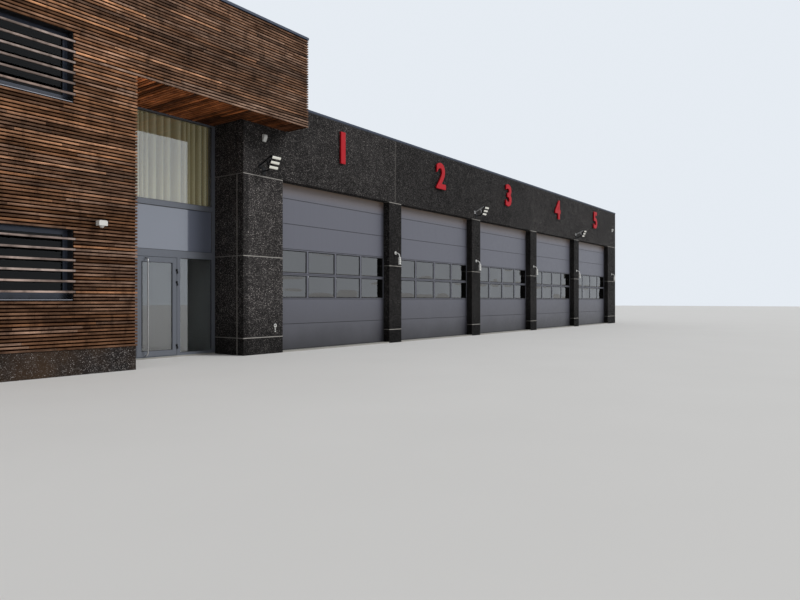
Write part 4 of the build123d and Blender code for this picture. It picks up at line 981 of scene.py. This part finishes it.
class STATION_OT_sealant(bpy.types.Operator):
    """Pale sealant in the joints between the precast panels, darkened as painted shade in the upright joints
    and on faces turned from the light, and a dark strip under the coping that paints its shadow
    """

    bl_idname = "station.sealant"
    bl_label = "Joint sealant"

    def execute(self, context):
        half = JOINT_WIDTH / 2
        sunk, deep = SEALANT_SINK, JOINT_DEPTH
        inside = Y_FRONT + deep, Y_PANEL_BACK - sunk
        end_face, end_joint = (X_END - deep, X_END - sunk), (Y_PANEL_BACK, Y_PANEL_BACK + JOINT_WIDTH)
        corner_face, rear_face = (X_GARAGE + sunk, X_GARAGE + deep), (Y_REAR - deep, Y_REAR - sunk)
        # dark holds the upright joints and those on faces turned from the light: their sealant is painted shade
        pale, dark = [], [(*end_face, *end_joint, 0, Z_PARAPET)]
        for height in JOINT_HEIGHTS:
            level = height - half, height + half
            for left, right in PIER_EDGES:
                pale += [(left + sunk, right - sunk, Y_FRONT + sunk, Y_FRONT + deep, *level),
                         (right - deep, right - sunk, *inside, *level)]
                dark.append((left + sunk, left + deep, *inside, *level))
            dark.append((*corner_face, Y_PANEL_BACK, Y_GLAZING, *level))
            pale += [(*end_face, Y_PANEL_BACK, SIDE_END, *level), (X_GARAGE, X_END, *rear_face, *level)]
        pale.append((*corner_face, *end_joint, 0, Z_LINTEL - half))
        for pier in PIER_CENTRES[1:-1]:
            dark.append((pier - half, pier + half, *rear_face, 0, Z_PARAPET))
        for pier in PIER_CENTRES[1:-1:2]:
            dark.append((pier - half, pier + half, Y_FRONT + 2 * sunk, Y_PANEL_BACK - sunk, Z_LINTEL, Z_PARAPET))
        for third in (1 / 3, 2 / 3):
            middle = Y_PANEL_BACK + (SIDE_END - Y_PANEL_BACK) * third
            dark.append((*end_face, middle - half, middle + half, 0, Z_PARAPET))
        # Painted shadow: a dark strip, a little proud of the panels, where the coping casts its shadow
        proud, size = SHADOW_PROUD, SHADOW_SIZE
        under = Z_PARAPET - size, Z_PARAPET
        blocks("coping_painted_shadow", [(X_GARAGE, X_END + proud, Y_FRONT - proud, Y_FRONT + size, *under),
                                     (X_END - size, X_END + proud, Y_FRONT + size, Y_REAR, *under)],
               "rubber")
        blocks("pale_joint_sealant", pale, "sealant")
        blocks("dark_joint_sealant", dark, "rained sealant")
        return {"FINISHED"}


# Bay doors
SECTION_COUNT = 7
LIGHT_COLUMNS = 4
LIGHT_SECTIONS = (2, 3)
LIGHT_RAIL = 0.06
SEAM_WIDTH = 0.008
SEAM_DEPTH = 0.006
SEAL_WIDTH = 0.012
SEAL_DEPTH = 0.01
LINTEL_SEAL = 0.014


def bay_lights():
    """Left, right, low and high edge of every light, as an array."""
    found = []
    inset = LIGHT_RAIL / 2
    for (low, high), (left, right) in zip(DOORS, OPENINGS):
        section = (high[2] - low[2]) / SECTION_COUNT
        pitch = (right - left) / LIGHT_COLUMNS
        for row in LIGHT_SECTIONS:
            for column in range(LIGHT_COLUMNS):
                found.append((left + column * pitch + inset, left + (column + 1) * pitch - inset,
                              low[2] + row * section + inset, low[2] + (row + 1) * section - inset))
    return np.array(found)


def pillow_panes(lights, front, back, swell, waves):
    """Panes that swell or sink like cushions, as thick everywhere as in the part. With u and v from -1 to 1
    over a pane, its shape is (1 - |u| cubed) times (1 - |v| cubed), times 1 + a u + b v + c cos(pi u) +
    d cos(pi v) with the pane's four waves, and its highest point stands out by its swell."""
    wide, tall = 25, 17
    u, v = np.meshgrid(np.linspace(-1, 1, wide), np.linspace(-1, 1, tall))
    left, right, low, high = lights.T[:, :, None, None]
    a, b, c, d = waves.T[:, :, None, None]
    bulge = 1 + a * u + b * v + c * np.cos(np.pi * u) + d * np.cos(np.pi * v)
    bulge = bulge * (1 - np.abs(u) ** 3) * (1 - np.abs(v) ** 3)
    bulge *= swell[:, None, None] / np.abs(bulge).max(axis=(1, 2), keepdims=True)
    x = (left + right) / 2 + u * (right - left) / 2 + 0 * bulge
    z = (low + high) / 2 + v * (high - low) / 2 + 0 * bulge
    points = np.stack([np.stack([x, depth - bulge, z], axis=-1) for depth in (front, back)], axis=1)
    grid, outer = grid_faces(tall, wide)
    edge = np.concatenate([grid[0, :-1], grid[:-1, -1], grid[-1, :0:-1], grid[:0:-1, 0]])
    after = np.roll(edge, -1)
    rim = np.stack([after, edge, edge + grid.size, after + grid.size], axis=1)
    one = np.concatenate([outer, outer[:, ::-1] + grid.size, rim])
    return shape("bay_door_panes", points, repeated(one, len(lights), 2 * grid.size), "door panes",
                 smooth=True)


class STATION_OT_bay_doors(bpy.types.Operator):
    """Swollen panes, gaskets and seals of the sectional doors"""

    bl_idname = "station.bay_doors"
    bl_label = "Bay door panes and seals"

    def execute(self, context):
        low, high = place("bay_door_glass")
        lights = bay_lights()
        rng = np.random.default_rng(51)
        swell = rng.choice([-1.0, 1.0], len(lights)) * rng.uniform(0.5, 1.0, len(lights)) * sizes().pane_bulge
        waves = rng.normal(0, 1, (len(lights), 4)) * (0.3, 0.3, 0.2, 0.2)
        panes = pillow_panes(lights, low[1], high[1], swell, waves)
        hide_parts("bay_door_glass")
        face = DOORS[0][0][1]
        blocks("bay_door_gaskets", ring_blocks(lights, SEAL_WIDTH, face + 0.003, low[1]), "rubber")
        seals = []
        behind = Y_PANEL_BACK - SEAL_DEPTH, Y_PANEL_BACK
        for (door_low, door_high), (left, right) in zip(DOORS, OPENINGS):
            seals += [(left, right, door_low[1] + 0.004, door_high[1] - 0.004, FLOOR_TOP, door_low[2]),
                      (left, left + SEAL_WIDTH, *behind, FLOOR_TOP, Z_LINTEL),
                      (right - SEAL_WIDTH, right, *behind, FLOOR_TOP, Z_LINTEL),
                      (left + SEAL_WIDTH, right - SEAL_WIDTH, *behind, Z_LINTEL - LINTEL_SEAL, Z_LINTEL)]
            for height in np.linspace(door_low[2], door_high[2], SECTION_COUNT + 1)[1:-1]:
                seals.append((left, right, face + SEAM_DEPTH / 2, face + SEAM_DEPTH,
                              height - SEAM_WIDTH / 2, height + SEAM_WIDTH / 2))
        blocks("bay_door_seals", seals, "rubber")
        return {"FINISHED"}


STRAP_PROUD = 0.0015
STRAP_EASE = 0.012
STRAP_FOOT = 0.004
HALF_STRAP = 0.04
STRAP_SPACING = 3.0


class STATION_OT_copings(bpy.types.Operator):
    """Joint straps over the metal copings"""

    bl_idname = "station.copings"
    bl_label = "Coping straps"

    def execute(self, context):
        points, faces = [], []
        for name, low_x, high_x, wall in (("garage_coping", X_OVERHANG, X_END, Y_PANEL_BACK - Y_FRONT),
                                          ("wing_coping", X_WING, X_OVERHANG, 0.36)):
            low, high = place(name)
            depth, tall = wall + 0.04, high[2] - low[2]
            profile = [(-STRAP_PROUD, STRAP_FOOT), (-STRAP_PROUD, tall - STRAP_EASE),
                       (STRAP_EASE, tall + STRAP_PROUD), (depth - STRAP_EASE, tall + STRAP_PROUD),
                       (depth + STRAP_PROUD, tall - STRAP_EASE), (depth + STRAP_PROUD, STRAP_FOOT)]
            count = int(round((high_x - low_x) / STRAP_SPACING))
            places = low_x + np.arange(1, count) * (high_x - low_x) / count
            for way, edge in ((1, low[1]), (-1, high[1])):
                centre = places[:, None] * X + Y * edge + Z * low[2]
                strap = bar_arrays(centre - X * HALF_STRAP, centre + X * HALF_STRAP, Y * way, Z, profile)
                faces.append(strap[1] + sum(map(len, points)))
                points.append(strap[0])
        shape("coping_straps", np.concatenate(points), np.concatenate(faces), "coping")
        return {"FINISHED"}


DOOR_GAP = 0.008
DOOR_POST = 0.08
UPPER_RAIL = 0.115
GASKET_PROUD = 0.004


class STATION_OT_entrance(bpy.types.Operator):
    """Gaskets of the entrance screen and its door"""

    bl_idname = "station.entrance"
    bl_label = "Entrance gaskets"

    def execute(self, context):
        (left, glass, sill), (right, _, top) = place("entrance_glass")
        leaf_low, leaf_high = place("entrance_door")
        (_, _, panel_low), (_, _, panel_high) = place("spandrel_panel")
        door_head = leaf_high[2] + DOOR_GAP
        panes = [(left, leaf_low[0] - DOOR_GAP - DOOR_POST, sill, door_head),
                 (leaf_high[0] + DOOR_GAP + DOOR_POST, right, sill, door_head),
                 (left, right, panel_high + UPPER_RAIL, top), (left, right, panel_low, panel_high)]
        blocks("entrance_gaskets", ring_blocks(panes, 0.011, glass - GASKET_PROUD, glass), "rubber")
        low, high = place("entrance_door_glass")
        blocks("door_gasket", ring_blocks([(low[0], high[0], low[2], high[2])], 0.008, low[1] - GASKET_PROUD,
                                          low[1]), "rubber", "entrance_leaf")
        return {"FINISHED"}


PLEAT_STEPS = 24
CURTAIN_ROWS = 41
PLEAT_DEPTH = 0.026


def curtain_folds(u, w, pleats):
    """Phase, fold and depth of the curtain at the shares u across and w down it. The phase is the turns of the
    pleats, bent by two slow sines. The fold is the sine of the phase and a quarter of w, plus a weaker sine of
    twice the phase. The depth swells slowly along the rail, and grows with the root of w."""
    turn = 2 * np.pi * u
    phase = turn * pleats + 2.2 * np.sin(2.3 * turn + 0.4) + 1.1 * np.sin(5.1 * turn)
    fold = np.sin(phase + 0.25 * w) + 0.22 * np.sin(2 * phase + 0.8 + 0.5 * w)
    return phase, fold, PLEAT_DEPTH * (1 + 0.35 * np.sin(3.7 * turn + 1.1)) * (0.72 + 0.28 * np.sqrt(w))


class STATION_OT_curtain(bpy.types.Operator):
    """Gathered curtain behind the upper entrance window"""

    bl_idname = "station.curtain"
    bl_label = "Gathered curtain"

    def execute(self, context):
        low, high = place("curtain")
        pleats = sizes().pleat_count
        across, down = PLEAT_STEPS * pleats + 1, CURTAIN_ROWS
        u, w = np.meshgrid(np.linspace(0, 1, across), np.linspace(0, 1, down))
        phase, fold, depth = curtain_folds(u, w, pleats)
        x = low[0] + 0.01 + u * (high[0] - low[0] - 0.02) + 0.004 * np.cos(phase) * w
        y = (low[1] + high[1]) / 2 + depth * fold
        z = high[2] - 0.002 - w * (high[2] - low[2] - 0.002)
        points = np.stack([x, y, z], axis=-1)
        faces = np.roll(grid_faces(down, across)[1][:, ::-1], 1, axis=1)
        piece = shape("curtain_cloth", points, faces, "cloth", smooth=True)
        layer = piece.data.attributes.new("fold", "FLOAT", "POINT")
        layer.data.foreach_set("value", (0.5 - 0.5 * fold / np.abs(fold).max()).ravel())
        run = np.linalg.norm(np.diff(points[:, :, :2], axis=1), axis=-1)
        along = np.concatenate([np.zeros((down, 1)), np.cumsum(run, axis=1)], axis=1)
        fall = w * (high[2] - low[2])
        add_uv(piece, "weave", np.stack([along, fall], axis=-1).reshape(-1, 2)[faces.ravel()])
        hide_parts("curtain")
        return {"FINISHED"}


PIN_LENGTH = 0.022
NUMERAL_DEPTH = 0.05


class STATION_OT_numerals(bpy.types.Operator):
    """Raised bay numbers over the doors, a pin's length off the wall"""

    bl_idname = "station.numerals"
    bl_label = "Bay numbers"

    def execute(self, context):
        for bay, centre in enumerate(BAY_CENTRES, start=1):
            curve = bpy.data.curves.new(f"numeral_{bay}", "FONT")
            curve.body = str(bay)
            curve.extrude, curve.offset, curve.resolution_u = 0.5, 0.028, 8
            holder = new_object("numeral_curve", curve)
            context.view_layer.update()
            mesh = bpy.data.meshes.new_from_object(holder.evaluated_get(context.evaluated_depsgraph_get()))
            bpy.data.objects.remove(holder)
            points = np.empty(len(mesh.vertices) * 3)
            mesh.vertices.foreach_get("co", points)
            points = points.reshape(-1, 3)
            low, high = points.min(axis=0), points.max(axis=0)
            scale = sizes().numeral_height / (high[1] - low[1])
            placed = np.stack([
                centre + (points[:, 0] - (low[0] + high[0]) / 2) * scale,
                Y_FRONT - PIN_LENGTH - NUMERAL_DEPTH * (points[:, 2] - low[2]) / (high[2] - low[2]),
                sizes().numeral_foot + (points[:, 1] - low[1]) * scale], axis=-1)
            mesh.vertices.foreach_set("co", placed.ravel())
            mesh.materials.clear()
            mesh.materials.append(material("signs"))
            mesh.name = f"bay_number_{bay}"
            piece = new_object(f"bay_number_{bay}", mesh)
            piece.modifiers.new("Joined", "WELD").merge_threshold = 0.0002
            bevel = piece.modifiers.new("Eased edges", "BEVEL")
            bevel.width, bevel.segments, bevel.limit_method = 0.004, 2, "ANGLE"
            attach(piece, "building")
        return {"FINISHED"}


# Floodlights: a head of three modules on the first, third and fifth pier
HEAD_TILT = math.radians(25)
HEAD_REACH = 0.33
HEAD_HEIGHT = Z_LINTEL + 0.285
MODULE_DEPTH = 0.055
MODULE_PITCH = 0.115
HALF_LENS = 0.126
LENS_HEIGHT = 0.031
LENS_SWELL = 0.008
BRACE_RADIUS = 0.018
BRACE_SIDES = 10
BRACE_ASIDE = 0.11
FORK_SHARE = 0.62
HALF_FOOT = 0.045, 0.05


class STATION_OT_fittings(bpy.types.Operator):
    """White lenses on the floodlight modules, and the braces behind them"""

    bl_idname = "station.fittings"
    bl_label = "Lamp lenses and braces"

    def execute(self, context):
        outward = np.array([0, -math.cos(HEAD_TILT), -math.sin(HEAD_TILT)])
        upward = np.array([0, -math.sin(HEAD_TILT), math.cos(HEAD_TILT)])
        heads = np.array([X * x + Y * (Y_FRONT - HEAD_REACH) + Z * HEAD_HEIGHT for x in PIER_CENTRES[0::2][:3]])
        centres = np.concatenate([heads + upward * MODULE_PITCH * step for step in (-1, 0, 1)])
        centres = centres + outward * MODULE_DEPTH
        half = [(LENS_HEIGHT, 0), (LENS_HEIGHT, LENS_SWELL * 0.4), (LENS_HEIGHT * 0.5, LENS_SWELL)]
        profile = [(-height, swell) for height, swell in half] + half[::-1]
        bars("floodlight_lenses", centres - X * HALF_LENS, centres + X * HALF_LENS, upward, outward, profile,
             "lens")
        turn = np.arange(BRACE_SIDES) * math.tau / BRACE_SIDES
        tube = np.stack([np.cos(turn), np.sin(turn)], axis=-1) * BRACE_RADIUS
        beside = heads - X * BRACE_ASIDE - outward * 0.012
        top, foot = beside + upward * 0.13, beside * (1, 0, 1) + Y * (Y_FRONT - 0.004) - Z * 0.05
        fork = foot + (top - foot) * FORK_SHARE
        x, y, z = foot.T
        wide, tall = HALF_FOOT
        feet = np.stack([x - wide, x + wide, y - 0.008, y + 0.004, z - tall, z + tall], 1)
        # The corner lamp's brace and feet are black where the others are pale: painted shade on the same metal
        for lamp, finish, those in (("corner", "bracket", slice(0, 1)), ("bay", "galvanised", slice(1, None))):
            for label, start, end in (("brace", foot, top), ("fork", fork, beside - upward * 0.1)):
                run = (end - start)[0]
                across = np.cross(X, run / np.linalg.norm(run))
                bars(f"{lamp}_floodlight_{label}", start[those], end[those], X, across, tube, finish)
            blocks(f"{lamp}_floodlight_feet", feet[those], finish)
        return {"FINISHED"}


# Finishes of the CAD nodes
NODE_FINISHES = {
    "precast": ("door_piers",),
    "rear precast": ("garage_rear_wall", "garage_end_wall"),
    "shared precast": ("shared_wall",),
    "fascia": ("fascia_panels",),
    "plinth": ("wing_plinth",),
    "roofing": ("garage_roof", "wing_roof"),
    "screed": ("ground_floor", "upper_floor"),
    "door": tuple(f"bay_door_{bay + 1}" for bay in range(BAY_COUNT)),
    "frames": ("entrance_mullions", "entrance_transoms", "entrance_door"),
    "window frames": ("window_frames",),
    "spandrel": ("spandrel_panel",),
    "window glass": ("window_glass",),
    "entrance glass": ("entrance_glass", "entrance_door_glass"),
    "coping": ("garage_coping", "wing_coping"),
    "steel": ("door_pull", "curtain_rail"),
    "bracket": ("floodlights", "door_hinge_posts", "door_hinge_leaves"),
    "white": ("pier_lamps", "wall_sensors", "wall_camera"),
    "caps": ("supply_caps",),
}
# Walls with an outer skin: the axis across the wall, and the sign of its outer side
WALL_SIDES = {
    "wing_front_wall": (1, -1), "overhang_front_beam": (1, -1), "entrance_header": (1, -1),
    "wing_rear_wall": (1, 1), "overhang_rear_wall": (1, 1), "wing_side_wall": (0, -1),
    "recess_side_wall": (0, 1), "overhang_side_wall": (0, 1),
}
MEMBRANE_SKIN = 0.03


def dress(node, finish):
    """Gives a CAD node its material."""
    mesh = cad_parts[node].data
    mesh.materials.clear()
    mesh.materials.append(finish)


class STATION_OT_finishes(bpy.types.Operator):
    """Procedural finishes on the CAD pieces"""

    bl_idname = "station.finishes"
    bl_label = "Finishes of the structure"

    def execute(self, context):
        for finish, nodes in NODE_FINISHES.items():
            for node in nodes:
                dress(node, material(finish))
        for node, (axis, sign) in WALL_SIDES.items():
            outer = place(node)[1 if sign > 0 else 0][axis]
            split = (axis, float(outer - sign * MEMBRANE_SKIN), sign)
            dress(node, plaster_material("Wall of " + node, linear(214, 211, 203), split).material)
        return {"FINISHED"}


# Stage: the camera stands left of the garage's corner and out from its front
CAMERA_LEFT = 9.53
CAMERA_BACK = 11.37
CAMERA_TURN = math.radians(-53.66)
CAMERA_REACH = 400
FLOOR_REACH = 130.0
# Suns: name, strength, angle across, and turns about x and z, in degrees
SUNS = (("key_sun", 1.95, 24, 52, 30), ("fill_sun", 0.12, 50, 60, -48))


class STATION_OT_stage(bpy.types.Operator):
    """Pale floor, soft studio light and the camera at the photograph's place"""

    bl_idname = "station.stage"
    bl_label = "Stage, light and camera"

    def execute(self, context):
        scene = context.scene
        scene.view_settings.view_transform = "Standard"
        lens = bpy.data.cameras.new("station_camera")
        lens.lens = sizes().focal_length
        lens.clip_end = CAMERA_REACH
        camera = new_object("station_camera", lens)
        camera.location = (X_GARAGE - CAMERA_LEFT, Y_FRONT - CAMERA_BACK, sizes().eye_height)
        camera.rotation_euler = (math.pi / 2, 0, CAMERA_TURN)
        scene.camera = camera

        floor_mesh = bpy.data.meshes.new("stage_floor")
        corners = np.array([(-1, -1, 0), (1, -1, 0), (1, 1, 0), (-1, 1, 0)]) * FLOOR_REACH
        floor_mesh.from_pydata(corners.tolist(), [], [(0, 1, 2, 3)])
        floor = new_object("stage_floor", floor_mesh)
        floor.location.z = -0.001
        pale = Surface("Stage floor", (0.7, 0.69, 0.67), 0.85)
        pale.give(Base_Color=pale.noise(0.5, 3.0).mix((0.68, 0.67, 0.65), (0.72, 0.71, 0.69)))
        floor_mesh.materials.append(pale.material)

        scene.world = bpy.data.worlds.new("station_world")
        scene.world.use_nodes = True
        tree = scene.world.node_tree
        sky = Nodes(tree, None, tree.nodes["World Output"].inputs)
        light = sky.add("Background", {0: (0.95, 0.97, 1.0), 1: 0.43})
        seen = sky.add("Background", {0: (0.83, 0.88, 0.94), 1: 0.95})
        direct, glossy, through = sky.add("LightPath", None, (
            "Is Camera Ray", "Is Glossy Ray", "Is Transmission Ray"))
        either = direct.greatest(glossy.greatest(through))
        sky.give(Surface=sky.add("MixShader", {0: either, 1: light, 2: seen}))

        for name, strength, angle, *turns in SUNS:
            sun = bpy.data.lights.new(name, "SUN")
            sun.energy = strength
            sun.angle = math.radians(angle)
            turn_x, turn_z = np.radians(turns)
            new_object(name, sun).rotation_euler = (turn_x, 0, turn_z)
        return {"FINISHED"}


class STATION_PT_panel(bpy.types.Panel):
    """Lists the dressing steps and their sizes"""

    bl_idname = "STATION_PT_panel"
    bl_label = "Fire station"
    bl_space_type = "VIEW_3D"
    bl_region_type = "UI"
    bl_category = "Fire station"

    def draw(self, context):
        for step in OPERATORS:
            self.layout.operator(step.bl_idname)
        for group in (context.scene.station_sizes, context.scene.station_colours):
            for name in group.__annotations__:
                self.layout.prop(group, name)


OPERATORS = (
    STATION_OT_stage, STATION_OT_finishes, STATION_OT_slats, STATION_OT_louvres, STATION_OT_soffit,
    STATION_OT_backing, STATION_OT_sealant, STATION_OT_bay_doors, STATION_OT_copings, STATION_OT_entrance,
    STATION_OT_curtain, STATION_OT_numerals, STATION_OT_fittings,
)
CLASSES = (StationSizes, StationColours, *OPERATORS, STATION_PT_panel)


def register():
    for each in CLASSES:
        bpy.utils.register_class(each)
    bpy.types.Scene.station_sizes = PointerProperty(type=StationSizes)
    bpy.types.Scene.station_colours = PointerProperty(type=StationColours)


def unregister():
    del bpy.types.Scene.station_sizes
    del bpy.types.Scene.station_colours
    for each in reversed(CLASSES):
        bpy.utils.unregister_class(each)


def main():
    register()
    for step in OPERATORS:
        area, name = step.bl_idname.split(".")
        getattr(getattr(bpy.ops, area), name)()


if __name__ == "__main__":
    main()
